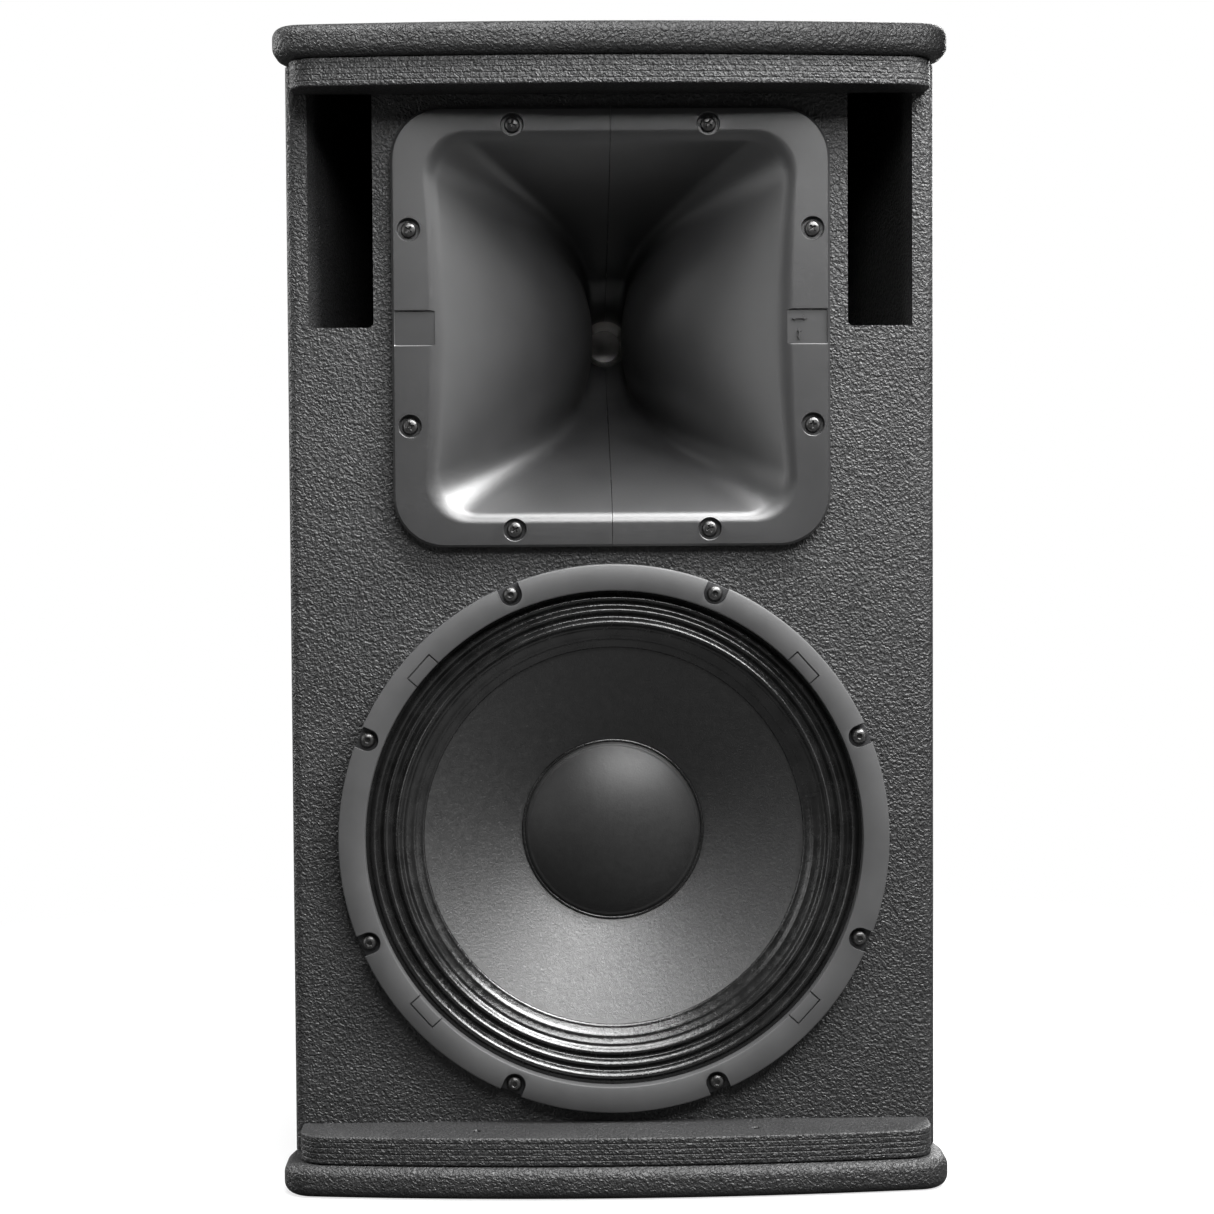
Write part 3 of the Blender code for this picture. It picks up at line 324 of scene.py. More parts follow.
def at_height(outline, z):
    """A flat outline as points at one height."""
    return np.column_stack([outline, np.full(len(outline), z)])


def piece(mesh, finish, body, replaced=(), sharp=32.0):
    """Shows the mesh as a piece with its finish that rides on a body and stands for CAD nodes."""
    if finish is not None:
        mesh.materials.clear()
        mesh.materials.append(finish)
    mesh.shade_smooth()
    mesh.set_sharp_from_angle(angle=math.radians(sharp))
    made = bpy.data.objects.new(mesh.name, mesh)
    scene.collection.objects.link(made)
    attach(made, body)
    if replaced:
        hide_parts(*replaced)
    return made


def cut(target, tool_mesh, operation="DIFFERENCE"):
    """Cuts the tool's shape out of a piece, or joins it on, and keeps the result as the piece's mesh."""
    tool = bpy.data.objects.new(tool_mesh.name, tool_mesh)
    scene.collection.objects.link(tool)
    step = target.modifiers.new("cut", "BOOLEAN")
    step.operation = operation
    step.object = tool
    step.solver = "EXACT"
    bpy.context.view_layer.update()
    result = bpy.data.meshes.new_from_object(target.evaluated_get(bpy.context.evaluated_depsgraph_get()))
    result.name = target.data.name + "_cut"
    target.modifiers.remove(step)
    target.data = result
    bpy.data.objects.remove(tool)
    result.shade_smooth()
    result.set_sharp_from_angle(angle=math.radians(32.0))


def coating_height(tree):
    """Sprayed droplets 1 to 2 mm wide that run into each other, with finer spatter on and between them."""
    blobs = spread(tree, grain(tree, 560.0, 1.0, 0.4, 0.7), 0.0, 1.0, 0.38, 0.66)
    pebbles = spread(tree, cells(tree, 640.0, "SMOOTH_F1", 0.8), 1.0, 0.0, 0.0, 0.75)
    spatter = weigh(tree, grain(tree, 1500.0, 2.0, 0.6), 0.3)
    return weigh(tree, weigh(tree, blobs, weigh(tree, pebbles, 0.5), "ADD"), spatter, "ADD")


coating = mottled(
    "textured_coating", dark=(0.010, 0.010, 0.0103), light=(0.018, 0.018, 0.0183), mottle=(25.0, 6.0, 0.65),
    gloss=(420.0, 4.0, 0.6), rough=(0.42, 0.60, 0.3, 0.7), relief=coating_height, height=0.00046,
    Specular_IOR_Level=0.42
)

cap_low, cap_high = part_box("top_panel")
base_low, base_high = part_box("bottom_panel")
body_low, body_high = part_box("left_side_panel")
baffle_low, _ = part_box("baffle")
BAFFLE_FRONT = baffle_low.y
BODY_HALF_WIDTH = 0.1832
BODY_REAR = body_high.y
BODY_REAR_HALF_WIDTH = 0.125
CAP_HALF_WIDTH = cap_high.x
SIDE_SLOPE = (BODY_HALF_WIDTH - BODY_REAR_HALF_WIDTH) / (BODY_REAR - BAFFLE_FRONT)


def bowed_plan(half_width, front, corner, rear, steps=48):
    """Plan with a front edge on a shallow arc, rounded where it meets the sides, and the given rear corners."""
    side_x = np.linspace(-half_width, half_width, steps + 1)
    arc = [(x, front + x * x / (2 * BOW_RADIUS), 0.0) for x in side_x[3:-3]]
    edge_y = front + half_width**2 / (2 * BOW_RADIUS)
    return filleted([(-half_width, edge_y, corner)] + arc + [(half_width, edge_y, corner)] + rear, 12)


def rounded_slab(name, plan, low, high, radius, steps=8):
    """A board from its plan, its top and bottom edges rounded over by a quarter circle."""
    turn = np.linspace(0.0, math.pi / 2, steps + 1)
    rings = [
        at_height(inset(plan, radius * (1 - math.sin(t))), low + radius * (1 - math.cos(t)))
        for t in turn
    ]
    rings += [
        at_height(inset(plan, radius * (1 - math.sin(t))), high - radius * (1 - math.cos(t)))
        for t in turn[::-1]
    ]
    return stacked(name, rings)


cap_rear_half = BODY_REAR_HALF_WIDTH + CAP_HALF_WIDTH - BODY_HALF_WIDTH
cap_plan = bowed_plan(
    CAP_HALF_WIDTH,
    cap_low.y,
    CAP_CORNER,
    [
        (CAP_HALF_WIDTH, BAFFLE_FRONT, 0.0),
        (cap_rear_half, cap_high.y, CAP_REAR_CORNER),
        (-cap_rear_half, cap_high.y, CAP_REAR_CORNER),
        (-CAP_HALF_WIDTH, BAFFLE_FRONT, 0.0),
    ],
)
piece(
    rounded_slab("bottom_cap_board", cap_plan, base_low.z, base_high.z, CAP_EDGE),
    coating,
    "cabinet",
    ["bottom_panel"],
)
top_cap = piece(
    rounded_slab("top_cap_board", cap_plan, cap_low.z, cap_high.z, CAP_EDGE), coating, "cabinet",
    ["top_panel"]
)

# Rigging points: M10 threaded inserts in the top and rear panels, closed in use by countersunk socket screws of
# blackened steel, whose heads lie just below the coating.

RIGGING_HEAD = 0.0095
RIGGING_SHANK = 0.005
RIGGING_LENGTH = 0.024
RIGGING_HEX = 0.0030
RIGGING_HEX_DEPTH = 0.0030
RIGGING_SINK = 0.0004

black_steel = mottled(
    "blackened_steel", dark=(0.05, 0.05, 0.051), light=(0.10, 0.099, 0.097), mottle=(900.0, 4.0),
    gloss=(1500.0, 3.0), rough=(0.24, 0.42), relief=(2500.0, 2.0), height=0.00003, Metallic=0.85
)


def spun(profile, place, steps=64):
    """Rings round an axis along Y, one for each (radius, ahead) point; a radius may be one value for each step."""
    turn = np.linspace(0.0, 2 * math.pi, steps, endpoint=False)
    rings = []
    for radius, ahead in profile:
        reach = radius * np.ones(steps)
        ring = np.stack([reach * np.cos(turn), np.full(steps, -ahead), reach * np.sin(turn)], axis=-1)
        rings.append(ring + np.array(place))
    return rings


def hexagon(turn, across):
    """Distance from the middle to a hexagon's side, with `across` from its middle to the middle of a side."""
    sector = (turn + math.pi / 6) % (math.pi / 3) - math.pi / 6
    return across / np.cos(sector)


def cross_slot(turn, reach, half_width):
    """Distance from the middle to the edge of a cross-shaped recess."""
    sector = (turn + math.pi / 4) % (math.pi / 2) - math.pi / 4
    return np.minimum(reach / np.cos(sector), half_width / np.maximum(np.abs(np.sin(sector)), 1e-6))


def driven_screw(name, recess, recess_depth, head, shank, place, steps=72, floor_share=0.55):
    """A screw along Y, its point to the back: a driver's recess in the middle, the head's profile, then its shank."""
    turn = np.linspace(0.0, 2 * math.pi, steps, endpoint=False)
    edge = recess(turn)
    top = head[0][1]
    rims = [
        (0.0 * edge, top - recess_depth * 1.15),
        (edge * floor_share, top - recess_depth),
        (edge, top - 0.0001),
        (edge + 0.0001, top),
    ]
    rims += head[1:] + shank + [(0.0 * edge, shank[-1][1])]
    return stacked(name, spun(rims, place, steps))


def turned_about_x(mesh, place, angle):
    """Turns a mesh about an X axis through a place."""
    points = np.zeros(len(mesh.vertices) * 3, np.float32)
    mesh.vertices.foreach_get("co", points)
    points = points.reshape(-1, 3) - np.array(place)
    c, s = math.cos(angle), math.sin(angle)
    points = points @ np.array([[1, 0, 0], [0, c, s], [0, -s, c]]) + np.array(place)
    mesh.vertices.foreach_set("co", points.astype(np.float32).ravel())
    mesh.update()
    return mesh


rigging_head = [
    (0.0, -RIGGING_SINK),
    (RIGGING_HEAD - 0.0004, -RIGGING_SINK),
    (RIGGING_HEAD, -RIGGING_SINK - 0.0003),
    (RIGGING_SHANK, -0.0045),
]
rigging_shank = [(RIGGING_SHANK, -RIGGING_LENGTH + 0.001), (RIGGING_SHANK - 0.001, -RIGGING_LENGTH)]
rigging_hole = [(0.0, 0.002), (RIGGING_HEAD + 0.0003, 0.002), (RIGGING_HEAD + 0.0003, -RIGGING_SINK)]
rigging_hole += [(RIGGING_SHANK + 0.0003, -0.0048), (RIGGING_SHANK + 0.0003, -RIGGING_LENGTH - 0.002)]
rigging_hole += [(0.0, -RIGGING_LENGTH - 0.002)]
for name, holder in (
    ("top_rigging_screw_front", top_cap), ("top_rigging_screw_rear", top_cap), ("rear_rigging_screw", None)
):
    low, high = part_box(name)
    middle = (low + high) / 2
    if holder is None:
        place, angle = (middle.x, high.y + RIGGING_SINK, middle.z), math.pi
    else:
        place, angle = (middle.x, middle.y, high.z + RIGGING_SINK), -math.pi / 2
    mesh = driven_screw(
        name + "_bolt",
        lambda turn: hexagon(turn, RIGGING_HEX),
        RIGGING_HEX_DEPTH,
        rigging_head,
        rigging_shank,
        place,
        floor_share=0.97,
    )
    piece(turned_about_x(mesh, place, angle), black_steel, "cabinet", [name])
    if holder is not None:
        cut(holder, turned_about_x(stacked(name + "_hole", spun(rigging_hole, place)), place, angle))

# The key light is kept off the top panel, which would throw it back as glare towards a viewer behind the cabinet.

kept_dark = bpy.data.collections.new("out_of_the_key_light")
kept_dark.objects.link(top_cap)
kept_dark.collection_objects[0].light_linking.link_state = "EXCLUDE"
key_light.light_linking.receiver_collection = kept_dark

# Side panels: plywood, leaning inwards to the back, each with its front corner rounded over and the same coating.
# The coating closes the joint with the baffle, so each board is a little thicker inwards and reaches it.

SIDE_THICKNESS = 0.013
COATED_GAP = 0.0003
SIDE_ROUND = 0.006
inside_offset = SIDE_THICKNESS * math.hypot(1.0, SIDE_SLOPE) + COATED_GAP
for side, node_name in ((-1, "left_side_panel"), (1, "right_side_panel")):
    side_plan = filleted(
        [
            (side * BODY_HALF_WIDTH, BAFFLE_FRONT, SIDE_ROUND),
            (side * BODY_REAR_HALF_WIDTH, BODY_REAR, 0.003),
            (side * (BODY_REAR_HALF_WIDTH - inside_offset), BODY_REAR, 0.0),
            (side * (BODY_HALF_WIDTH - inside_offset), BAFFLE_FRONT, 0.0),
        ],
        14,
    )
    heights = np.linspace(body_low.z, body_high.z, 13)
    mesh = stacked(node_name.replace("panel", "board"), [at_height(side_plan, z) for z in heights])
    piece(mesh, coating, "cabinet", [node_name])

# Baffle, rear panel, port ducts and shelf brace: plywood boards. All that the air touches is coated black, and the
# brace inside is left bare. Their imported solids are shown, with these finishes.

def bare_ply_colour(tree):
    """Pale birch with long darker fibres."""
    fibres = grain(tree, 60.0, 6.0, 0.6, 1.2, stretch=(1.0, 0.06, 1.0))
    return ramp(
        tree, fibres, (0.25, (0.30, 0.19, 0.10)), (0.5, (0.47, 0.33, 0.19)), (0.8, (0.56, 0.42, 0.26))
    )


bare_plywood = new_finish(
    "bare_plywood",
    bare_ply_colour,
    lambda tree: spread(tree, grain(tree, 300.0), 0.55, 0.8),
    lambda tree: grain(tree, 400.0, 4.0, 0.6, 0.5, stretch=(1.0, 0.1, 1.0)),
    0.0001,
)


def dress(name, finish):
    """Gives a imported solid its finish."""
    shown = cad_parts[name]
    for slot in shown.material_slots:
        slot.material = finish
    if not shown.material_slots:
        shown.data.materials.append(finish)


for name in ("baffle", "rear_panel", "left_port_duct", "right_port_duct"):
    dress(name, coating)
dress("shelf_brace", bare_plywood)

# Grille rails: bowed plywood strips, glued under the top panel and on the bottom one, that the grille is screwed to.
# The coating is thin on their cut front edges, so that the plies show as fine level grooves. The bottom rail has two
# pilot holes.

RAIL_CORNER = 0.016
RAIL_EDGE = 0.0011
PLY_LINES = 4
PLY_DEPTH = 0.00022
PLY_WIDTH = 0.00055
PILOT_HOLE = (0.0782, 0.0207, 0.0022, 0.009)
for node_name in ("top_grille_rail", "bottom_grille_rail"):
    low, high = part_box(node_name)
    rail_plan = bowed_plan(
        high.x, low.y, RAIL_CORNER, [(high.x, high.y, 0.0), (low.x, high.y, 0.0)]
    )
    edge = np.linspace(0.0, math.pi / 2, 6)
    levels = [(RAIL_EDGE * (1 - math.sin(t)), low.z + RAIL_EDGE * (1 - math.cos(t))) for t in edge]
    for k in range(PLY_LINES):
        z = low.z + (high.z - low.z) * (k + 1) / (PLY_LINES + 1)
        for across, depth in ((-1.0, 0.0), (-0.45, 1.0), (0.45, 1.0), (1.0, 0.0)):
            levels.append((PLY_DEPTH * depth, z + PLY_WIDTH * across))
    levels += [(RAIL_EDGE * (1 - math.sin(t)), high.z - RAIL_EDGE * (1 - math.cos(t))) for t in edge[::-1]]
    rings = []
    for depth, z in levels:
        ring = inset(rail_plan, depth)
        ring[:, 1] = np.minimum(ring[:, 1] + np.where(rail_plan[:, 1] > high.y - 1e-4, depth, 0.0), high.y)
        rings.append(at_height(ring, z))
    rail = piece(stacked(node_name + "_strip", rings), coating, "cabinet", [node_name])
    if node_name == "bottom_grille_rail":
        pilot_x, pilot_ahead, pilot_radius, pilot_depth = PILOT_HOLE
        for side in (-1, 1):
            place = (side * pilot_x, BAFFLE_FRONT - pilot_ahead, high.z)
            rings = spun(
                [
                    (0.0, 0.003), (pilot_radius + 0.0004, 0.003), (pilot_radius + 0.0004, 0.0),
                    (pilot_radius, -0.0005), (pilot_radius, -pilot_depth), (0.0, -pilot_depth)
                ],
                place, 32
            )
            cut(rail, turned_about_x(stacked("pilot_hole", rings), place, -math.pi / 2))

# Horn: moulded in two halves that meet on an upright seam, in satin dark grey plastic. Its mouth is nearly square;
# the side walls close in fast to an upright slot, which opens into the driver's round throat. A square flange with
# a small chamfer holds it to the baffle; on each side of the flange is a shallow plain label recess.

HORN_LENGTH = 0.196
HORN_FLANGE = 0.12275
HORN_FLANGE_CORNER = 0.029
HORN_FLANGE_THICKNESS = 0.006
FLANGE_CHAMFER = 0.0013
HORN_WALL = 0.003
MOUTH_HALF_WIDTH = 0.103
MOUTH_WAIST = 0.0985
MOUTH_HALF_HEIGHT = 0.106
MOUTH_CORNER = 0.025
MOUTH_LIP = 0.0040
MOUTH_FLARE = 0.010
FLARE_POWER = 6
SHOULDER_AT_THROAT = 0.011
SHOULDER_POWER = 2.25
WAIST_POWER = 2.4
SLOT_HALF_WIDTH = 0.0087
SLOT_DEPTH = 0.140
THROAT_RADIUS = 0.0145
DRIVER_FLANGE_RADIUS = 0.042
DRIVER_FLANGE_THICKNESS = 0.006
SEAM = 0.00015
EDGE_STEPS, CORNER_STEPS, SIDE_STEPS = 12, 16, 24
LABEL_X = (0.0987, 0.1211)
LABEL_HALF_HEIGHT = 0.0096
LABEL_DEPTH = 0.0013
LABEL_BEVEL = 0.0005

horn_low, horn_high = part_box("horn_right_half")
HORN_FRONT = horn_low.y
HORN_Z = (horn_low.z + horn_high.z) / 2

edge_share = np.arange(EDGE_STEPS) / EDGE_STEPS
corner_turn = math.pi / 2 * np.arange(CORNER_STEPS) / CORNER_STEPS
side_share = np.arange(SIDE_STEPS + 1) / SIDE_STEPS
straight_x = np.concatenate([edge_share, np.ones(CORNER_STEPS), np.ones(SIDE_STEPS + 1)])
bent_x = np.concatenate([0 * edge_share, np.sin(corner_turn), np.ones(SIDE_STEPS + 1)])
straight_z = np.concatenate([np.ones(EDGE_STEPS), np.ones(CORNER_STEPS), 1 - 2 * side_share])
bent_z = np.concatenate([np.ones(EDGE_STEPS), np.cos(corner_turn), 0 * side_share])
mirrored = slice(EDGE_STEPS + CORNER_STEPS - 1, None, -1)
straight_x = np.concatenate([straight_x, straight_x[mirrored]])
bent_x = np.concatenate([bent_x, bent_x[mirrored]])
straight_z = np.concatenate([straight_z, -straight_z[mirrored]])
bent_z = np.concatenate([bent_z, -bent_z[mirrored]])
HALF_COLUMNS = len(straight_x)


def half_box(half_x, half_z, radius):
    """Right half of a rounded rectangle from its top middle down: straight runs plus the corner's arc."""
    x = (half_x - radius) * straight_x + radius * bent_x
    z = (half_z - radius) * straight_z + radius * bent_z
    return np.column_stack([x, z])


def half_disc(radius):
    """Right half of a circle from its top down."""
    turn = np.linspace(0.0, math.pi, HALF_COLUMNS)
    return radius * np.column_stack([np.sin(turn), np.cos(turn)])


def horn_section(depth, wall=0.0):
    """Half a section: a rounded box that shrinks by powers of the length left, drawn in to a waist, then a circle."""
    left = max(1 - depth / HORN_LENGTH, 0.0)
    shoulder = SHOULDER_AT_THROAT + (MOUTH_HALF_WIDTH - SHOULDER_AT_THROAT) * left**SHOULDER_POWER
    straight = MOUTH_HALF_HEIGHT - MOUTH_FLARE - THROAT_RADIUS
    half_height = THROAT_RADIUS + straight * left + MOUTH_FLARE * left**FLARE_POWER
    waist = SLOT_HALF_WIDTH + (MOUTH_WAIST - SLOT_HALF_WIDTH) * max(1 - depth / SLOT_DEPTH, 0.0) ** WAIST_POWER
    turning = min(max((depth - SLOT_DEPTH) / (HORN_LENGTH - SLOT_DEPTH), 0.0), 1.0)
    roundness = turning * turning * (3 - 2 * turning)
    radius = min(MOUTH_CORNER * left, 0.8 * shoulder)
    at = half_box(shoulder + wall, half_height + wall, radius + wall)
    level = np.minimum(np.abs(at[:, 1]) / half_height, 1.0)
    pinch = waist / shoulder + (1 - waist / shoulder) * level**2
    x = np.where(at[:, 0] > wall, wall + (at[:, 0] - wall) * pinch, at[:, 0])
    boxed = np.column_stack([x, at[:, 1]])
    return boxed + (half_disc(THROAT_RADIUS + wall) - boxed) * roundness


def horn_half_mesh(name, side):
    """One half as a closed skin, ring by ring: flange, lip, flare, driver flange and the outside."""
    rear = HORN_LENGTH - DRIVER_FLANGE_THICKNESS
    flange = half_box(HORN_FLANGE, HORN_FLANGE, HORN_FLANGE_CORNER)
    face = half_box(
        HORN_FLANGE - FLANGE_CHAMFER, HORN_FLANGE - FLANGE_CHAMFER, HORN_FLANGE_CORNER - FLANGE_CHAMFER
    )
    rows = [(flange, FLANGE_CHAMFER), (face, 0.0)]
    for turn in np.linspace(0.0, math.pi / 2, 9):
        depth = MOUTH_LIP * (1 - math.cos(turn))
        grown = 1 + MOUTH_LIP * (1 - math.sin(turn)) / MOUTH_HALF_HEIGHT
        rows.append((horn_section(depth) * grown, depth))
    rows += [(horn_section(depth), depth) for depth in np.linspace(MOUTH_LIP, HORN_LENGTH, 74)[1:]]
    rows += [(half_disc(DRIVER_FLANGE_RADIUS), HORN_LENGTH), (half_disc(DRIVER_FLANGE_RADIUS), rear)]
    rows += [
        (horn_section(depth, HORN_WALL), depth)
        for depth in np.linspace(rear, HORN_FLANGE_THICKNESS, 40)
    ]
    rows.append((flange, HORN_FLANGE_THICKNESS))
    rings = []
    for section, depth in rows:
        x = side * np.maximum(section[:, 0], SEAM)
        rings.append(np.column_stack([x, np.full(HALF_COLUMNS, HORN_FRONT + depth), HORN_Z + section[:, 1]]))
    points = np.stack(rings)
    mesh = grid_mesh(name, points, wrap_rows=True)
    shape = bmesh.new()
    shape.from_mesh(mesh)
    shape.verts.ensure_lookup_table()
    for column in (0, HALF_COLUMNS - 1):
        shape.faces.new([shape.verts[row * HALF_COLUMNS + column] for row in range(len(rings))])
    bmesh.ops.remove_doubles(shape, verts=shape.verts, dist=2e-6)
    bmesh.ops.recalc_face_normals(shape, faces=shape.faces)
    shape.to_mesh(mesh)
    shape.free()
    return mesh


def drawn_along_y(name, outline, front, back):
    """A flat outline in x and z, drawn out along Y."""
    return stacked(
        name,
        [np.column_stack([outline[:, 0], np.full(len(outline), y), outline[:, 1]]) for y in (front, back)]
    )


def box_outline(x, z, half_x, half_z, radius=0.0, steps=6):
    """A rectangle about a point, with rounded corners where a radius is given."""
    corners = [
        (x - half_x, z - half_z), (x + half_x, z - half_z), (x + half_x, z + half_z), (x - half_x, z + half_z)
    ]
    return filleted([(*corner, radius) for corner in corners], steps)


horn_plastic = mottled(
    "horn_plastic", dark=(0.011, 0.011, 0.0114), light=(0.016, 0.016, 0.0164), mottle=(30.0, 5.0, 0.6),
    gloss=(900.0, 3.0), rough=(0.35, 0.42, 0.3, 0.7), relief=(2600.0, 2.0, 0.5), height=0.000035,
    Specular_IOR_Level=0.9
)
HORN_SCREWS = [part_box(f"horn_screw_{number}") for number in range(1, 9)]
HORN_SINK = 0.0064
HORN_SINK_DEPTH = 0.0032
for side, node_name in ((-1, "horn_left_half"), (1, "horn_right_half")):
    half = piece(
        horn_half_mesh(node_name + "_moulding", side), horn_plastic, "cabinet", [node_name]
    )
    for low, high in HORN_SCREWS:
        middle = (low + high) / 2
        if middle.x * side > 0:
            place = (middle.x, HORN_FRONT, middle.z)
            sink = [
                (0.0, 0.002), (HORN_SINK + 0.0005, 0.002), (HORN_SINK + 0.0005, 0.0002), (HORN_SINK, -0.0003)
            ]
            sink += [
                (HORN_SINK - 0.0003, -HORN_SINK_DEPTH), (0.0026, -HORN_SINK_DEPTH), (0.0026, -0.02),
                (0.0, -0.02)
            ]
            cut(half, stacked("horn_screw_sink", spun(sink, place, 48)))
    label_x, label_half = side * sum(LABEL_X) / 2, (LABEL_X[1] - LABEL_X[0]) / 2
    rings = []
    for depth, grown in ((-0.002, LABEL_BEVEL + 0.002), (LABEL_BEVEL, 0.0), (LABEL_DEPTH, 0.0)):
        label = box_outline(label_x, HORN_Z, label_half + grown, LABEL_HALF_HEIGHT + grown, 0.0006, 3)
        rings.append(np.column_stack([label[:, 0], np.full(len(label), HORN_FRONT + depth), label[:, 1]]))
    cut(half, stacked("label_recess", rings))

# Arrows in the right recess: raised on the moulding, one level and one upright, for the horn's two spreads.

ARROW_RAISE = 0.0010
ARROW_X = LABEL_X[0] + 0.0068


def double_arrow(x, z, half_length, upright):
    """Outline of a thin bar with an arrow head at each end, level or turned upright about its middle."""
    bar, head, wing = 0.00045, 0.0020, 0.0013
    one = [(half_length, 0.0), (half_length - head, wing), (half_length - head, bar)]
    two = [(-half_length + head, bar), (-half_length + head, wing), (-half_length, 0.0)]
    upper = one + two
    outline = np.array(upper + [(a, -b) for a, b in upper[-2:0:-1]])
    return outline[:, ::-1] + (x, z) if upright else outline + (x, z)


arrow_floor = HORN_FRONT + LABEL_DEPTH
for name, outline in (
    ("level_arrow_mark", double_arrow(ARROW_X, HORN_Z + 0.0048, 0.0044, False)),
    ("upright_arrow_mark", double_arrow(ARROW_X, HORN_Z - 0.0040, 0.0034, True)),
):
    mesh = drawn_along_y(name, outline, arrow_floor - ARROW_RAISE, arrow_floor + 0.0002)
    piece(mesh, horn_plastic, "cabinet")

# Horn screws: eight blackened pan-head screws with cross recesses, sunk in counterbores of the flange.

PAN_HEAD = 0.00435
PAN_HEIGHT = 0.0024
PAN_SHANK = 0.0021
for number, (low, high) in enumerate(HORN_SCREWS, 1):
    middle = (low + high) / 2
    under_head = low.y + PAN_HEIGHT
    pan = [
        (0.0, PAN_HEIGHT), (0.0026, PAN_HEIGHT - 0.0001), (0.0036, PAN_HEIGHT - 0.0005),
        (0.0041, PAN_HEIGHT - 0.0011)
    ]
    pan += [(PAN_HEAD, 0.0006), (PAN_HEAD, 0.0), (PAN_SHANK, 0.0)]
    point = under_head - high.y
    shank = [(PAN_SHANK, point + 0.003), (0.0006, point + 0.0002)]
    mesh = driven_screw(
        f"horn_screw_{number}_pan_head",
        lambda turn: cross_slot(turn + 0.9 * number, 0.0022, 0.00055),
        0.0012,
        pan,
        shank,
        (middle.x, under_head, middle.z),
    )
    piece(mesh, black_steel, "cabinet", [f"horn_screw_{number}"])

# Compression driver, bolted to the back of the horn: plated front plate with its pole piece, ferrite ring, domed
# titanium diaphragm on a short coil, and a moulded rear cover. All of them are turned or pressed round parts.

plated_steel = mottled(
    "zinc_plated_steel", dark=(0.50, 0.50, 0.50), light=(0.62, 0.61, 0.58), mottle=(120.0, 5.0),
    gloss=(700.0, 4.0), rough=(0.22, 0.42), relief=(1800.0, 2.0), height=0.00002, Metallic=1.0
)
ferrite = mottled(
    "ground_ferrite", dark=(0.040, 0.040, 0.044), light=(0.075, 0.075, 0.080), mottle=(200.0, 6.0),
    gloss=(600.0, 4.0), rough=(0.40, 0.65), relief=(900.0, 5.0, 0.6), height=0.00008
)
titanium = mottled(
    "titanium_foil", dark=(0.20, 0.195, 0.19), light=(0.27, 0.265, 0.26), mottle=(90.0, 4.0),
    gloss=(500.0, 3.0), rough=(0.42, 0.55), relief=(700.0, 3.0), height=0.00003, Metallic=1.0
)
black_plastic = mottled(
    "black_moulding", dark=(0.020, 0.020, 0.021), light=(0.030, 0.030, 0.031), mottle=(60.0, 5.0),
    gloss=(700.0, 3.0), rough=(0.38, 0.55), relief=lambda tree: cells(tree, 1900.0), height=0.00006
)


def softened(profile, radius, steps=3):
    """A closed (radius, ahead) profile with its corners rounded, and its ends on the axis left alone."""
    return [
        tuple(point)
        for point in filleted([(a, b, 0.0 if a < 1e-6 else radius) for a, b in profile], steps)
    ]


def turned_piece(name, profile, place, finish, body, replaced, steps=96, radius=0.0003):
    """A piece spun round an axis along Y from a (radius, ahead) profile that is closed or ends on the axis."""
    on_axis = profile[0][0] < 1e-6
    if radius:
        profile = softened(profile, radius)
    rings = spun(profile, place, steps)
    return piece(stacked(name, rings, wrap=not on_axis), finish, body, replaced)


throat_low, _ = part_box("hf_throat_plate")
DRIVER_PLACE = (0.0, throat_low.y - 0.0003, HORN_Z)
throat_plate = [
    (THROAT_RADIUS, -0.0003), (0.045, -0.0003), (0.045, -0.008), (0.0217, -0.008), (0.0217, -0.026)
]
throat_plate.append((0.010, -0.026))
turned_piece(
    "hf_front_plate", throat_plate, DRIVER_PLACE, plated_steel, "cabinet", ["hf_throat_plate"]
)
driver_magnet = [(0.0242, -0.0083), (0.050, -0.0083), (0.050, -0.026), (0.0242, -0.026)]
turned_piece(
    "hf_ferrite_ring", driver_magnet, DRIVER_PLACE, ferrite, "cabinet", ["hf_magnet"], radius=0.001
)
dome_turn = np.linspace(0.0, 1.0, 14)
dome_radius = 0.021 * dome_turn
dome_ahead = -0.0346 + 0.0062 * dome_turn**2
dome = list(zip(dome_radius, dome_ahead)) + [
    (0.0225, -0.0277), (0.0240, -0.0274), (0.0258, -0.0271), (0.0275, -0.0274)
]
dome += [
    (0.030, -0.0274), (0.030, -0.0269), (0.0231, -0.0269), (0.0231, -0.018), (0.0223, -0.018),
    (0.0223, -0.0272)
]
dome += list(zip(dome_radius[:-1][::-1] * 0.985, dome_ahead[:-1][::-1] + 0.0006))
turned_piece(
    "hf_dome", dome, DRIVER_PLACE, titanium, "hf_diaphragm", ["hf_diaphragm"], radius=0.0
)
driver_cover = [(0.0, -0.040), (0.044, -0.040), (0.0465, -0.0375), (0.0465, -0.0263), (0.050, -0.0263)]
driver_cover += [(0.050, -0.0385), (0.0455, -0.0435), (0.0, -0.0435)]
turned_piece(
    "hf_rear_cover", driver_cover, DRIVER_PLACE, black_plastic, "cabinet",
    ["hf_driver_cover"], radius=0.0
)

# Woofer basket: die-cast frame, powder coated black, with six windows between its spokes.

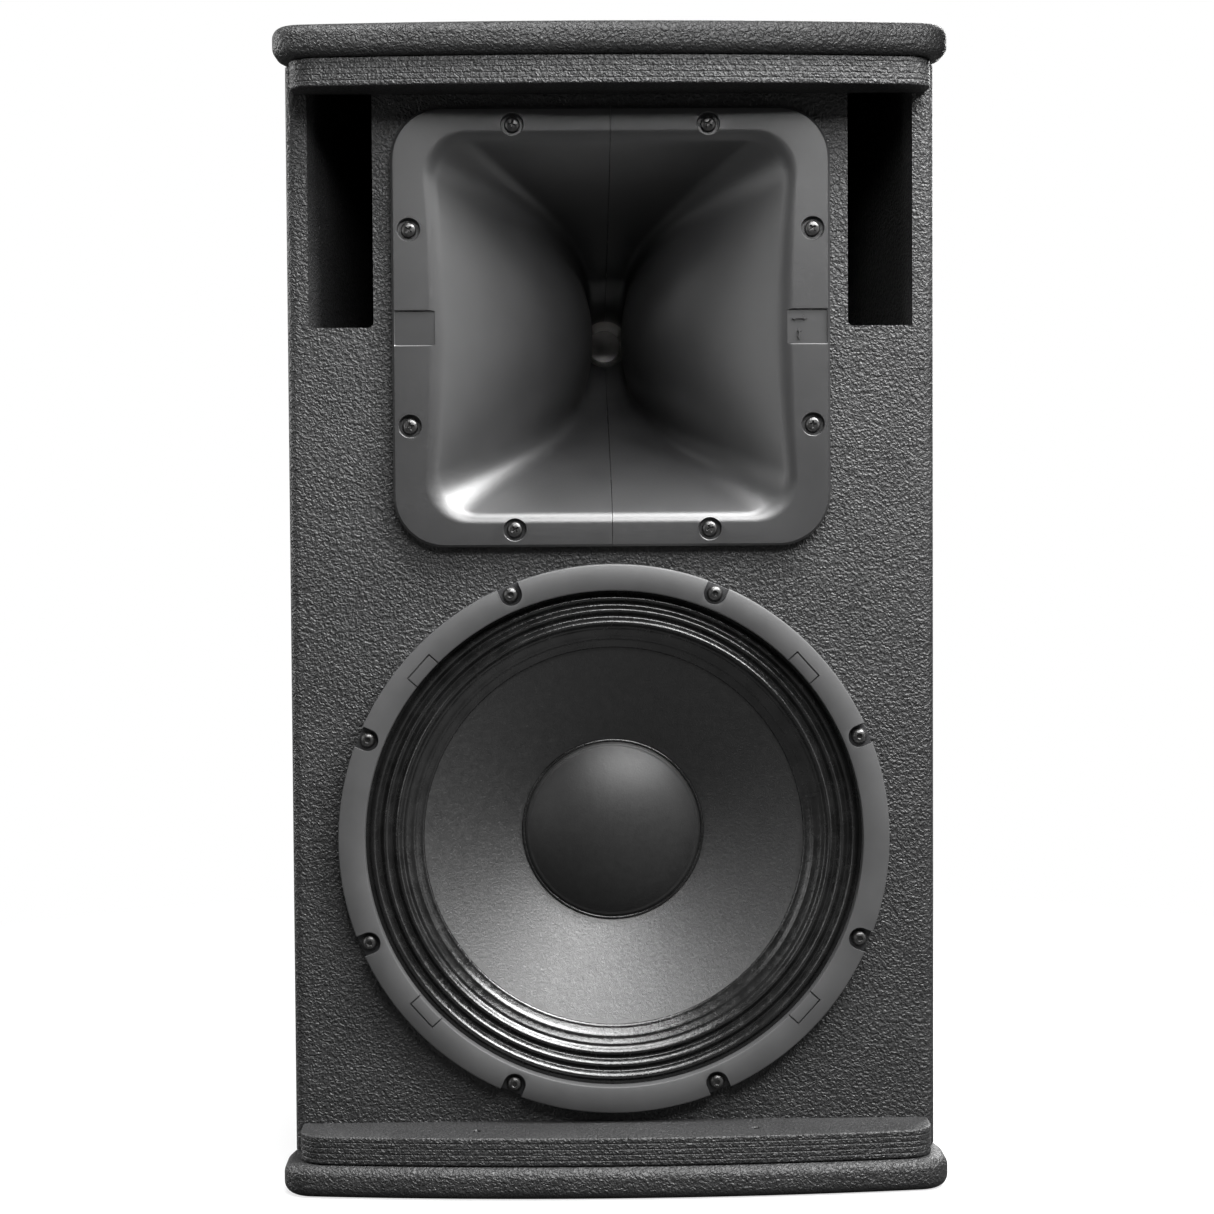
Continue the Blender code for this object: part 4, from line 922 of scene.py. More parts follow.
woofer_low, woofer_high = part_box("woofer_trim_ring")
WOOFER_Z = (woofer_low.z + woofer_high.z) / 2
WOOFER_PLACE = (0.0, BAFFLE_FRONT, WOOFER_Z)
black_casting = mottled(
    "powder_coated_casting", dark=(0.012, 0.012, 0.013), light=(0.022, 0.022, 0.023), mottle=(80.0, 5.0),
    gloss=(800.0, 3.0), rough=(0.35, 0.55), relief=(1100.0, 3.0, 0.6), height=0.0001, Metallic=0.2
)
basket_profile = [(0.155, 0.0003), (0.155, 0.004), (0.1435, 0.004), (0.1435, -0.0009), (0.1285, -0.0009)]
basket_profile += [(0.1285, -0.005), (0.092, -0.048), (0.092, -0.0503), (0.078, -0.0503), (0.078, -0.062)]
basket_profile += [(0.046, -0.062), (0.046, -0.066), (0.090, -0.066), (0.096, -0.062), (0.098, -0.048)]
basket_profile += [(0.134, -0.006), (0.1442, -0.006), (0.1442, 0.0003)]
basket = turned_piece(
    "woofer_cast_frame", basket_profile, WOOFER_PLACE, black_casting, "cabinet", ["woofer_basket"],
    192, 0.0003
)
for k in range(6):
    turn = math.radians(60 * k) + math.radians(42) * np.linspace(-0.5, 0.5, 15)
    outer = 0.150 * np.stack([np.cos(turn), np.sin(turn)], axis=-1)
    inner = 0.080 * np.stack([np.cos(turn), np.sin(turn)], axis=-1)[::-1]
    window = np.concatenate([outer, inner]) + (0.0, WOOFER_Z)
    cut(basket, drawn_along_y("basket_window", window, BAFFLE_FRONT + 0.010, BAFFLE_FRONT + 0.045))

# Trim ring: a flat moulding in matt dark grey over the basket's flange, with a U-shaped notch round each screw and
# the outlines of four snap tabs.

RING_OUTER = 0.1555
RING_INNER = 0.1405
RING_AHEAD = 0.008
NOTCH_RADIUS = 0.00635
SCREW_CIRCLE = 0.150
TAB_TURNS = (42.0, 138.0, 222.0, 318.0)
TAB_HALF_WIDTH = 0.0086
TAB_REACH = (0.1400, 0.1470)
GROOVE_WIDTH = 0.0008
GROOVE_DEPTH = 0.0018

ring_plastic = mottled(
    "matt_ring_moulding", dark=(0.030, 0.030, 0.0305), light=(0.042, 0.042, 0.0425), mottle=(40.0, 5.0, 0.6),
    gloss=(1200.0, 3.0), rough=(0.44, 0.56), relief=(2400.0, 3.0, 0.6), height=0.00005, Specular_IOR_Level=0.8
)
ring_profile = [
    (RING_OUTER, 0.0043), (RING_OUTER, RING_AHEAD - 0.0010), (RING_OUTER - 0.0003, RING_AHEAD - 0.0003)
]
ring_profile += [
    (RING_OUTER - 0.0010, RING_AHEAD), (RING_INNER + 0.0009, RING_AHEAD),
    (RING_INNER + 0.0003, RING_AHEAD - 0.0003)
]
ring_profile += [(RING_INNER, RING_AHEAD - 0.0009), (RING_INNER, 0.0003), (0.1432, 0.0003), (0.1432, 0.0043)]
ring = turned_piece(
    "trim_ring", ring_profile, WOOFER_PLACE, ring_plastic, "cabinet", ["woofer_trim_ring"],
    256, 0.0
)


def turned_outline(outline, turn):
    """A flat outline, drawn with its first axis pointing out, turned about the woofer's axis."""
    c, s = math.cos(turn), math.sin(turn)
    return outline @ np.array([[c, s], [-s, c]]) + (0.0, WOOFER_Z)


notch_bend = np.linspace(-math.pi / 2, math.pi / 2, 17)
notch = np.column_stack([SCREW_CIRCLE - NOTCH_RADIUS * np.cos(notch_bend), NOTCH_RADIUS * np.sin(notch_bend)])
notch = np.concatenate([notch, [(RING_OUTER + 0.005, NOTCH_RADIUS), (RING_OUTER + 0.005, -NOTCH_RADIUS)]])
WOOFER_SCREW_TURNS = [math.radians(22.5 + 45 * k) for k in range(8)]
for turn in WOOFER_SCREW_TURNS:
    cut(
        ring,
        drawn_along_y("ring_notch", turned_outline(notch, turn), BAFFLE_FRONT - 0.010, BAFFLE_FRONT + 0.020)
    )
near, far = TAB_REACH
outer_half = TAB_HALF_WIDTH + GROOVE_WIDTH
tab_groove = np.array(
    [
        (near, -outer_half),
        (far + GROOVE_WIDTH, -outer_half),
        (far + GROOVE_WIDTH, outer_half),
        (near, outer_half),
        (near, TAB_HALF_WIDTH),
        (far, TAB_HALF_WIDTH),
        (far, -TAB_HALF_WIDTH),
        (near, -TAB_HALF_WIDTH),
    ]
)
groove_floor = BAFFLE_FRONT - RING_AHEAD + GROOVE_DEPTH
for degrees in TAB_TURNS:
    outline = turned_outline(tab_groove, math.radians(degrees))
    cut(ring, drawn_along_y("tab_groove", outline, BAFFLE_FRONT - RING_AHEAD - 0.002, groove_floor))

# Woofer screws: eight blackened button-head screws with hexagon sockets, through the notches into the baffle.

for number in range(1, 9):
    low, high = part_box(f"woofer_screw_{number}")
    middle = (low + high) / 2
    button = [
        (0.0, 0.0028), (0.0026, 0.0026), (0.0034, 0.0021), (0.0040, 0.0014), (0.00435, 0.0007), (0.00445, 0.0)
    ]
    button.append((0.0023, 0.0))
    point = low.y + 0.0028 - high.y
    mesh = driven_screw(
        f"woofer_screw_{number}_button_head",
        lambda turn: hexagon(turn + 0.7 * number, 0.00150),
        0.0015,
        button,
        [(0.0023, point + 0.001), (0.0015, point)],
        (middle.x, low.y + 0.0028, middle.z),
        floor_share=0.97,
    )
    piece(mesh, black_steel, "cabinet", [f"woofer_screw_{number}"])

# Surround: cloth pressed into three pleats and soaked with glossy damping compound. Its inner lip is glued over the
# cone's edge in a shiny bead; its outer edge sits under the trim ring.

CONE_RADIUS = 0.117
CONE_SLOPE = 0.532
CONE_EDGE_BACK = 0.0023
CONE_NECK = 0.0386
PLEAT_START = 0.119
PLEAT_PITCH = 0.0068
PLEATS_END = PLEAT_START + 3 * PLEAT_PITCH
PLEAT_HEIGHT = 0.0026
SURROUND_LIP_START = 0.1077
SURROUND_LIP_END = 0.1172
SURROUND_RIM_END = 0.1428


def cone_face(radius):
    """How far ahead of the baffle the cone's front lies at a radius."""
    return -CONE_EDGE_BACK - CONE_SLOPE * (CONE_RADIUS - radius)


def surround_ahead(radius):
    """Height of the surround's front: along the cone, then three waves, then a flat rim."""
    waves = 0.5 * PLEAT_HEIGHT * (1 - np.cos(2 * math.pi * (radius - PLEAT_START) / PLEAT_PITCH))
    drift = -0.0009 + 0.00078 * (radius - PLEAT_START) / (3 * PLEAT_PITCH)
    pleated = waves + drift
    lip = cone_face(radius) + 0.0008
    bead = 0.00055 * np.exp(
        -(((radius - 0.1135) / 0.0011) ** 2)
    ) + 0.0003 * np.exp(-(((radius - 0.1086) / 0.0006) ** 2))
    rim = -0.00012 + 0.00012 * (radius - PLEATS_END) / (SURROUND_RIM_END - PLEATS_END)
    blend = np.clip((radius - SURROUND_LIP_END) / (PLEAT_START - SURROUND_LIP_END), 0.0, 1.0)
    inner = lip + bead * (1 - blend) + (-0.0009 - lip) * blend
    return np.where(radius < PLEAT_START, inner, np.where(radius < PLEATS_END, pleated, rim))


def treated_height(tree):
    """Weave under compound: fine threads in both directions, with runs and thin places in the gloss."""
    threads = weigh(tree, grain(tree, 2600.0, 1.0), 0.30)
    runs = grain(tree, 170.0, 5.0, 0.65, 1.0)
    return weigh(tree, runs, threads, "ADD")


treated_cloth = mottled(
    "compound_soaked_cloth", dark=(0.004, 0.004, 0.004), light=(0.010, 0.010, 0.010), mottle=(90.0, 5.0),
    gloss=(150.0, 6.0, 0.7, 1.0), rough=(0.08, 0.36, 0.35, 0.70), relief=treated_height, height=0.00022,
    Specular_IOR_Level=0.6
)
fine_radius = np.concatenate(
    [
        np.linspace(SURROUND_LIP_START, SURROUND_LIP_END, 22), np.linspace(0.1175, PLEATS_END, 100),
        [0.1405, SURROUND_RIM_END]
    ]
)
front_line = list(zip(fine_radius, surround_ahead(fine_radius)))
back_line = list(zip(fine_radius[::-1], surround_ahead(fine_radius)[::-1] - 0.0005))
surround = piece(
    stacked("pleated_surround", spun(front_line + back_line, WOOFER_PLACE, 256), wrap=True),
    treated_cloth,
    "cone",
    ["woofer_surround"],
    75.0,
)


def bend_radially(ring_piece, inner, outer):
    """Takes the piece off its body and works its placement into its points; how far each point lies from the inner
    radius to the outer one is worked out, but nothing is bent.
    """
    ring_piece.parent = None
    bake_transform(ring_piece)
    points = np.zeros(len(ring_piece.data.vertices) * 3, np.float32)
    ring_piece.data.vertices.foreach_get("co", points)
    points = points.reshape(-1, 3)
    share = np.clip((np.hypot(points[:, 0], points[:, 2] - WOOFER_Z) - inner) / (outer - inner), 0.0, 1.0)
    share = share * share * (3 - 2 * share)


bend_radially(surround, 0.1180, PLEATS_END)

# Cone: felted paper, a straight-sided shell from the surround down to the voice coil. Dust cap: a shallow dome of
# the same paper, glued on in a thin double bead.

cone_paper = new_finish(
    "felted_cone_paper",
    lambda tree: ramp(
        tree, grain(tree, 220.0, 8.0, 0.75), (0.30, (0.004, 0.004, 0.004)), (0.55, (0.009, 0.009, 0.009)),
        (0.78, (0.020, 0.020, 0.019))
    ),
    lambda tree: spread(tree, grain(tree, 330.0, 6.0, 0.7), 0.34, 0.54, 0.3, 0.7),
    lambda tree: grain(tree, 620.0, 8.0, 0.75, 0.6),
    0.00034,
    Specular_IOR_Level=0.75,
)
cone_rows = np.linspace(CONE_RADIUS, CONE_NECK, 40)
cone_wave = 0.00012 * np.exp(-(((cone_rows - 0.0525) / 0.0008) ** 2))
cone_line = list(zip(cone_rows, cone_face(cone_rows) + cone_wave))
cone_line += list(zip(cone_rows[::-1], cone_face(cone_rows)[::-1] - 0.0009))
turned_piece(
    "paper_cone", cone_line, WOOFER_PLACE, cone_paper, "cone", ["woofer_cone"], 192, 0.0
)

DUST_CAP_RADIUS = 0.051
DUST_CAP_HEIGHT = 0.015
GLUE_BEAD_RADIUS = 0.0517
GLUE_BEAD_THICK = 0.0010
cap_curve = (DUST_CAP_RADIUS**2 + DUST_CAP_HEIGHT**2) / (2 * DUST_CAP_HEIGHT)
cap_foot = cone_face(DUST_CAP_RADIUS) + 0.0003
cap_radius = np.sin(np.linspace(0.0, 1.0, 40) * math.asin(0.9585)) / 0.9585 * DUST_CAP_RADIUS
cap_rise = np.sqrt(cap_curve**2 - cap_radius**2) - cap_curve + DUST_CAP_HEIGHT
rim_bead = 0.0006 * np.exp(-(((cap_radius - 0.0496) / 0.0005) ** 2))
cap_line = list(zip(cap_radius, cap_foot + cap_rise + 0.0008 + rim_bead))
cap_line += list(zip(cap_radius[::-1], cap_foot + cap_rise[::-1]))
cap_paper = new_finish(
    "dust_cap_paper",
    lambda tree: ramp(
        tree, grain(tree, 260.0, 8.0, 0.75), (0.30, (0.006, 0.006, 0.006)), (0.75, (0.014, 0.014, 0.014))
    ),
    lambda tree: spread(tree, grain(tree, 500.0, 4.0), 0.40, 0.54),
    lambda tree: grain(tree, 800.0, 8.0, 0.7),
    0.00009,
    Specular_IOR_Level=0.45,
)
turned_piece(
    "dust_cap_dome", cap_line, WOOFER_PLACE, cap_paper, "cone", ["woofer_dust_cap"], 144, 0.0
)
bead_turn = np.linspace(0.0, 2 * math.pi, 17)[:-1]
bead_line = [
    (
        GLUE_BEAD_RADIUS + GLUE_BEAD_THICK * math.cos(t),
        cone_face(GLUE_BEAD_RADIUS) + 0.0004 + GLUE_BEAD_THICK * math.sin(t)
    )
    for t in bead_turn
]
piece(
    stacked("dust_cap_glue_bead", spun(bead_line, WOOFER_PLACE, 192), wrap=True), treated_cloth, "cone",
)

# Voice coil: copper wire wound on a thin former, in the magnet's gap. Spider: resin-stiffened cloth pressed into
# rings, which keeps the coil centred and bends as it moves. Neither is seen with the driver mounted.

WINDING_TURNS = 20
former = [(0.0382, -0.041), (0.0382, -0.0633)]
winding = []
for k in range(WINDING_TURNS):
    middle = -0.0633 - 0.014 * (k + 0.5) / WINDING_TURNS
    winding += [(0.0384, middle + 0.00034), (0.0389, middle), (0.0384, middle - 0.00034)]
coil_profile = former + winding + [(0.0382, -0.0773), (0.0382, -0.080), (0.0377, -0.080), (0.0377, -0.041)]
copper = mottled(
    "enamelled_copper", dark=(0.50, 0.20, 0.08), light=(0.68, 0.32, 0.15), mottle=(300.0, 4.0),
    gloss=(900.0, 3.0), rough=(0.20, 0.36), relief=(1500.0, 2.0), height=0.00003, Metallic=1.0
)
turned_piece("wound_coil", coil_profile, WOOFER_PLACE, copper, "cone", ["voice_coil"], 128, 0.0)
spider_cloth = mottled(
    "resin_stiffened_cloth", dark=(0.33, 0.20, 0.07), light=(0.52, 0.36, 0.15), mottle=(1500.0, 3.0, 0.7),
    gloss=(300.0, 3.0), rough=(0.55, 0.8), relief=lambda tree: cells(tree, 1500.0), height=0.0002
)
spider_radius = np.linspace(0.0385, 0.0915, 120)
inside_waves = np.clip(
    (spider_radius - 0.042) / 0.003, 0.0, 1.0
) * np.clip((0.086 - spider_radius) / 0.003, 0.0, 1.0)
spider_ahead = -0.0494 + 0.0011 * inside_waves * np.sin(2 * math.pi * (spider_radius - 0.042) / 0.0088)
spider_line = list(zip(spider_radius, spider_ahead)) + list(
    zip(spider_radius[::-1], spider_ahead[::-1] - 0.0005)
)
spider = turned_piece(
    "corrugated_spider", spider_line, WOOFER_PLACE, spider_cloth, "cone", ["woofer_spider"],
    160, 0.0
)
bend_radially(spider, 0.0420, 0.0860)

# Woofer motor: plated front plate, ferrite ring and back plate with its vented pole, glued and bolted in a stack.
# A small terminal block on the frame takes the lead.

plate_front = -0.0663
turned_piece(
    "motor_front_plate",
    [
        (0.0394, plate_front), (0.088, plate_front), (0.088, plate_front - 0.008),
        (0.0394, plate_front - 0.008)
    ],
    WOOFER_PLACE, plated_steel, "cabinet", ["woofer_top_plate"], 128, 0.0008
)
turned_piece(
    "motor_ferrite_ring",
    [
        (0.046, plate_front - 0.0083), (0.090, plate_front - 0.0083), (0.090, plate_front - 0.0263),
        (0.046, plate_front - 0.0263)
    ],
    WOOFER_PLACE, ferrite, "cabinet", ["woofer_magnet"], 128, 0.0015
)
pole_front = plate_front - 0.0266
pole = [
    (0.012, plate_front), (0.0372, plate_front), (0.0372, pole_front), (0.084, pole_front),
    (0.084, pole_front - 0.008), (0.012, pole_front - 0.008)
]
turned_piece(
    "motor_pole_plate", pole, WOOFER_PLACE, plated_steel, "cabinet", ["woofer_pole_plate"],
    128, 0.0008
)
dress("woofer_terminal", black_plastic)

# Input plate: a black moulding set into the rear panel, with a flange, a dish for the plugs and six countersunk
# screws. Its dish floor has holes for the sockets and a slot for the switch.

plate_low, plate_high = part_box("input_plate")
PLATE_Z = (plate_low.z + plate_high.z) / 2
PLATE_HALF_WIDTH = plate_high.x
PLATE_HALF_HEIGHT = plate_high.z - PLATE_Z
PLATE_FACE = plate_high.y
DISH_DEPTH = 0.030
DISH_HALF_WIDTH = 0.0755
DISH_HALF_HEIGHT = 0.0505
DISH_WALL = 0.0025
DISH_FLOOR = PLATE_FACE - DISH_DEPTH
SOCKET_X = 0.052
SOCKET_BODY = 0.0125
SWITCH_SLOT = (-0.027, -0.030, 0.0075, 0.0028)


def plate_ring(half_x, half_z, radius, y):
    """A rounded rectangle about the plate's middle at one depth."""
    outline = box_outline(0.0, PLATE_Z, half_x, half_z, radius, 8)
    return np.column_stack([outline[:, 0], np.full(len(outline), y), outline[:, 1]])


plate_rings = []
for grow, y in (
    (0.0, PLATE_FACE - DISH_WALL), (0.0, PLATE_FACE - 0.0010), (-0.0003, PLATE_FACE - 0.0003),
    (-0.0010, PLATE_FACE)
):
    plate_rings.append(plate_ring(PLATE_HALF_WIDTH + grow, PLATE_HALF_HEIGHT + grow, 0.008 + grow, y))
for grow, y in (
    (0.0012, PLATE_FACE), (0.0004, PLATE_FACE - 0.0004), (0.0, PLATE_FACE - 0.0012),
    (-0.0004, DISH_FLOOR + 0.0014)
):
    plate_rings.append(plate_ring(DISH_HALF_WIDTH + grow, DISH_HALF_HEIGHT + grow, 0.004 + grow, y))
plate_rings.append(plate_ring(DISH_HALF_WIDTH - 0.0018, DISH_HALF_HEIGHT - 0.0018, 0.0026, DISH_FLOOR))
back_rings = [plate_ring(PLATE_HALF_WIDTH, PLATE_HALF_HEIGHT, 0.008, PLATE_FACE - DISH_WALL)]
for y in (PLATE_FACE - DISH_WALL, DISH_FLOOR - DISH_WALL):
    back_rings.append(plate_ring(DISH_HALF_WIDTH + DISH_WALL, DISH_HALF_HEIGHT + DISH_WALL, 0.006, y))
plate_points = back_rings[::-1] + plate_rings[1:]
input_plate = piece(
    stacked("input_plate_moulding", plate_points), black_plastic, "cabinet", ["input_plate"]
)
for z in (-0.020, 0.020):
    hole = [(0.0, 0.01), (SOCKET_BODY + 0.0003, 0.01), (SOCKET_BODY + 0.0003, -0.01), (0.0, -0.01)]
    cut(input_plate, stacked("socket_hole", spun(hole, (SOCKET_X, DISH_FLOOR, PLATE_Z + z), 64)))
slot_x, slot_z, slot_half_x, slot_half_z = SWITCH_SLOT
slot_outline = box_outline(slot_x, PLATE_Z + slot_z, slot_half_x, slot_half_z, 0.0005, 3)
cut(input_plate, drawn_along_y("switch_slot", slot_outline, DISH_FLOOR - 0.01, DISH_FLOOR + 0.01))
PLATE_SCREW_X = 0.0803
PLATE_SCREW_Z = 0.0553
plate_screw_head = [(0.0, 0.0), (0.0028, -0.0001), (0.0032, -0.0004), (0.0016, -0.0018)]
for number, (x, z) in enumerate(
    [(a * PLATE_SCREW_X, b * PLATE_SCREW_Z) for a in (-1, 0, 1) for b in (-1, 1)], 1
):
    place = (x, PLATE_FACE, PLATE_Z + z)
    sink = [
        (0.0, 0.002), (0.0034, 0.002), (0.0034, -0.0002), (0.0018, -0.0020), (0.0018, -0.006), (0.0, -0.006)
    ]
    cut(input_plate, turned_about_x(stacked("plate_screw_sink", spun(sink, place, 32)), place, math.pi))
    mesh = driven_screw(
        f"input_plate_screw_{number}",
        lambda turn: cross_slot(turn + 1.3 * number, 0.0016, 0.00045),
        0.0009,
        plate_screw_head,
        [(0.0014, -0.0022), (0.0004, -0.0024)],
        place,
        56,
    )
    piece(turned_about_x(mesh, place, math.pi), black_steel, "cabinet")

# Speaker sockets: round twist-locking ones in blue moulding. Each has a deep ring groove round a centre
# post, two locking keyways and brass contacts along the post.

blue_plastic = mottled(
    "blue_moulding", dark=(0.020, 0.055, 0.20), light=(0.030, 0.080, 0.27), mottle=(80.0, 4.0),
    gloss=(700.0, 3.0), rough=(0.30, 0.45), relief=(1800.0, 2.0), height=0.00004
)
brass = mottled(
    "plated_contact", dark=(0.62, 0.46, 0.20), light=(0.78, 0.62, 0.32), mottle=(400.0, 4.0),
    gloss=(900.0, 3.0), rough=(0.18, 0.32), relief=(1800.0, 2.0), height=0.00002, Metallic=1.0
)
socket_profile = [
    (0.0, 0.001), (0.0033, 0.001), (0.0038, 0.0007), (0.004, 0.0002), (0.004, -0.015), (0.011, -0.015)
]
socket_profile += [(0.011, 0.0018), (0.0114, 0.0024), (0.0119, 0.0025), (0.0150, 0.0025), (0.0155, 0.0020)]
socket_profile += [(0.0155, 0.0003), (SOCKET_BODY, 0.0003), (SOCKET_BODY, -0.020), (0.0, -0.020)]
for number, z in ((1, 0.020), (2, -0.020)):
    place = (SOCKET_X, DISH_FLOOR, PLATE_Z + z)
    mesh = turned_about_x(stacked(f"twist_socket_{number}", spun(socket_profile, place, 96)), place, math.pi)
    socket = piece(mesh, blue_plastic, "cabinet", [f"speaker_socket_{number}"])
    for side in (-1, 1):
        keyway = box_outline(place[0], place[2] + side * 0.0112, 0.0016, 0.0010)
        cut(socket, drawn_along_y("keyway", keyway, DISH_FLOOR - 0.012, DISH_FLOOR + 0.006))
    for k in range(4):
        turn = math.radians(45 + 90 * k)
        contact = filleted(
            [
                (0.0036, -0.0008, 0.0), (0.00425, -0.0008, 0.0003), (0.00425, 0.0008, 0.0003),
                (0.0036, 0.0008, 0.0)
            ],
            3
        )
        c, s = math.cos(turn), math.sin(turn)
        outline = contact @ np.array([[c, s], [-s, c]]) + (place[0], place[2])
        contact_mesh = drawn_along_y(
            f"socket_{number}_contact_{k + 1}", outline, DISH_FLOOR - 0.013, DISH_FLOOR - 0.001
        )
        piece(contact_mesh, brass, "cabinet")

# Terminal strip: a black block with five captive screws between low walls, under a cover that hinges up on a pin.

strip_low, strip_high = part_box("terminal_strip")
dress("terminal_strip", black_plastic)
STRIP_FACE = DISH_FLOOR + 0.011
STRIP_Z = PLATE_Z + 0.014
strip_middle = (strip_low.x + strip_high.x) / 2
for k in range(5):
    x = strip_middle + 0.0105 * (k - 2)
    place = (x, STRIP_FACE, STRIP_Z - 0.002)
    terminal_head = [(0.0, 0.0011), (0.0030, 0.0010), (0.0034, 0.0006), (0.0034, -0.0002)]
    mesh = driven_screw(
        f"terminal_screw_{k + 1}",
        lambda turn: cross_slot(turn + 0.8 * k, 0.0020, 0.0005),
        0.0008,
        terminal_head,
        [(0.0016, -0.0002), (0.0014, -0.0040)],
        place,
        56,
    )
    piece(turned_about_x(mesh, place, math.pi), plated_steel, "cabinet")
cover_low, cover_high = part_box("terminal_cover")
HINGE_PLACE = (strip_middle, 0.157, 0.2325)
cover_half = 0.0296
cover_section = filleted(
    [
        (-0.0004, 0.0008, 0.0002), (0.0012, 0.0008, 0.0002), (0.0012, -0.0245, 0.0006),
        (-0.0004, -0.0245, 0.0002)
    ],
    5
)
cover_y = HINGE_PLACE[1] + cover_section[:, 0]
cover_z = HINGE_PLACE[2] + cover_section[:, 1]
rings = [
    np.column_stack([np.full(len(cover_section), x), cover_y, cover_z])
    for x in (strip_middle - cover_half, strip_middle + cover_half)
]
cover = piece(
    stacked("hinged_cover", rings), black_plastic, "terminal_cover", ["terminal_cover"]
)
pin_turn = np.linspace(0.0, 2 * math.pi, 33)[:-1]
pin_ring = np.stack([np.zeros(32), 0.0012 * np.cos(pin_turn), 0.0012 * np.sin(pin_turn)], axis=-1)
pin_rings = [pin_ring + (x, HINGE_PLACE[1], HINGE_PLACE[2]) for x in (cover_low.x, cover_high.x)]
cut(cover, stacked("cover_pin", pin_rings), "UNION")
for k in range(3):
    rib = box_outline(strip_middle + 0.004 * (k - 1), HINGE_PLACE[2] - 0.0215, 0.0010, 0.0016, 0.0004, 3)
    cut(cover, drawn_along_y("cover_grip", rib, HINGE_PLACE[1] + 0.0009, HINGE_PLACE[1] + 0.002))

# Mode switch: a small moulded slider with grip ridges, in the slot of the dish.

switch_low, switch_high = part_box("mode_switch")
knob_x = switch_low.x + 0.006
knob_z = (switch_low.z + switch_high.z) / 2
knob = box_outline(knob_x, knob_z, 0.004, 0.0024, 0.0004, 4)
switch = piece(
    drawn_along_y("mode_switch_slider", knob, DISH_FLOOR - 0.0045, DISH_FLOOR + 0.003),
    black_plastic,
    "mode_switch",
    ["mode_switch"],
)
foot = box_outline(knob_x, knob_z, 0.006, 0.005, 0.0004, 4)
cut(switch, drawn_along_y("switch_foot", foot, DISH_FLOOR - 0.0055, DISH_FLOOR - 0.0028), "UNION")
for k in range(3):
    ridge = box_outline(knob_x + 0.0022 * (k - 1), knob_z, 0.0004, 0.004)
    cut(switch, drawn_along_y("switch_groove", ridge, DISH_FLOOR + 0.0024, DISH_FLOOR + 0.004))

# Crossover on the bottom panel: a fibreboard with two air-cored copper inductors and a film capacitor. A
# jacketed lead runs from it to each driver.

fibreboard = mottled(
    "crossover_fibreboard", dark=(0.16, 0.11, 0.06), light=(0.31, 0.23, 0.14), mottle=(700.0, 7.0, 0.75),
    gloss=(400.0, 4.0), rough=(0.65, 0.9), relief=(900.0, 6.0, 0.7), height=0.0002
)
dress("crossover_board", fibreboard)
INDUCTOR_BORES = {"lf_inductor": 0.012, "hf_inductor": 0.009}
for node_name, bore in INDUCTOR_BORES.items():
    low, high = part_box(node_name)
    middle = (low + high) / 2
    outer = (high.x - low.x) / 2
    turns = 16 if node_name == "lf_inductor" else 11
    height = high.z - low.z
    wires = []
    for k in range(turns):
        centre = -height * (k + 0.5) / turns
        step = height / turns / 2
        wires += [
            (outer - 0.6 * step, centre + 0.9 * step), (outer, centre),
            (outer - 0.6 * step, centre - 0.9 * step)
        ]
    coil_profile = [(bore, 0.0), (outer - 0.0008, 0.0)] + wires + [(outer - 0.0008, -height), (bore, -height)]
    place = (middle.x, middle.y, low.z)
    mesh = turned_about_x(
        stacked(node_name + "_winding", spun(coil_profile, place, 96), wrap=True), place, math.pi / 2
    )
    piece(mesh, copper, "cabinet", [node_name])
capacitor_film = mottled(
    "wrapped_film", dark=(0.52, 0.42, 0.08), light=(0.64, 0.53, 0.13), mottle=(90.0, 4.0), gloss=(500.0, 3.0),
    rough=(0.25, 0.42), relief=(500.0, 3.0), height=0.00005
)
low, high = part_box("crossover_capacitor")
middle = (low + high) / 2
can_radius = (high.z - low.z) / 2
can_turn = np.linspace(0.0, 2 * math.pi, 65)[:-1]
can_rings = []
for x, radius in (
    (low.x, 0.0), (low.x, can_radius - 0.0025), (low.x + 0.0008, can_radius - 0.0012),
    (low.x + 0.0008, can_radius), (high.x - 0.0008, can_radius), (high.x - 0.0008, can_radius - 0.0012),
    (high.x, can_radius - 0.0025), (high.x, 0.0)
):
    can_rings.append(
        np.stack(
            [np.full(64, x), middle.y + radius * np.cos(can_turn), middle.z + radius * np.sin(can_turn)],
            axis=-1
        )
    )
piece(
    stacked("film_capacitor", can_rings), capacitor_film, "cabinet", ["crossover_capacitor"]
)
cable_jacket = mottled(
    "cable_jacket", dark=(0.20, 0.018, 0.016), light=(0.28, 0.030, 0.026), mottle=(50.0, 4.0),
    gloss=(400.0, 3.0), rough=(0.32, 0.48), relief=(900.0, 3.0), height=0.00008
)
dress("lf_lead", cable_jacket)
dress("hf_lead", cable_jacket)

# Damping pad: needled fleece against the inside of the rear panel, a rounded slab that its own loft swells a little.

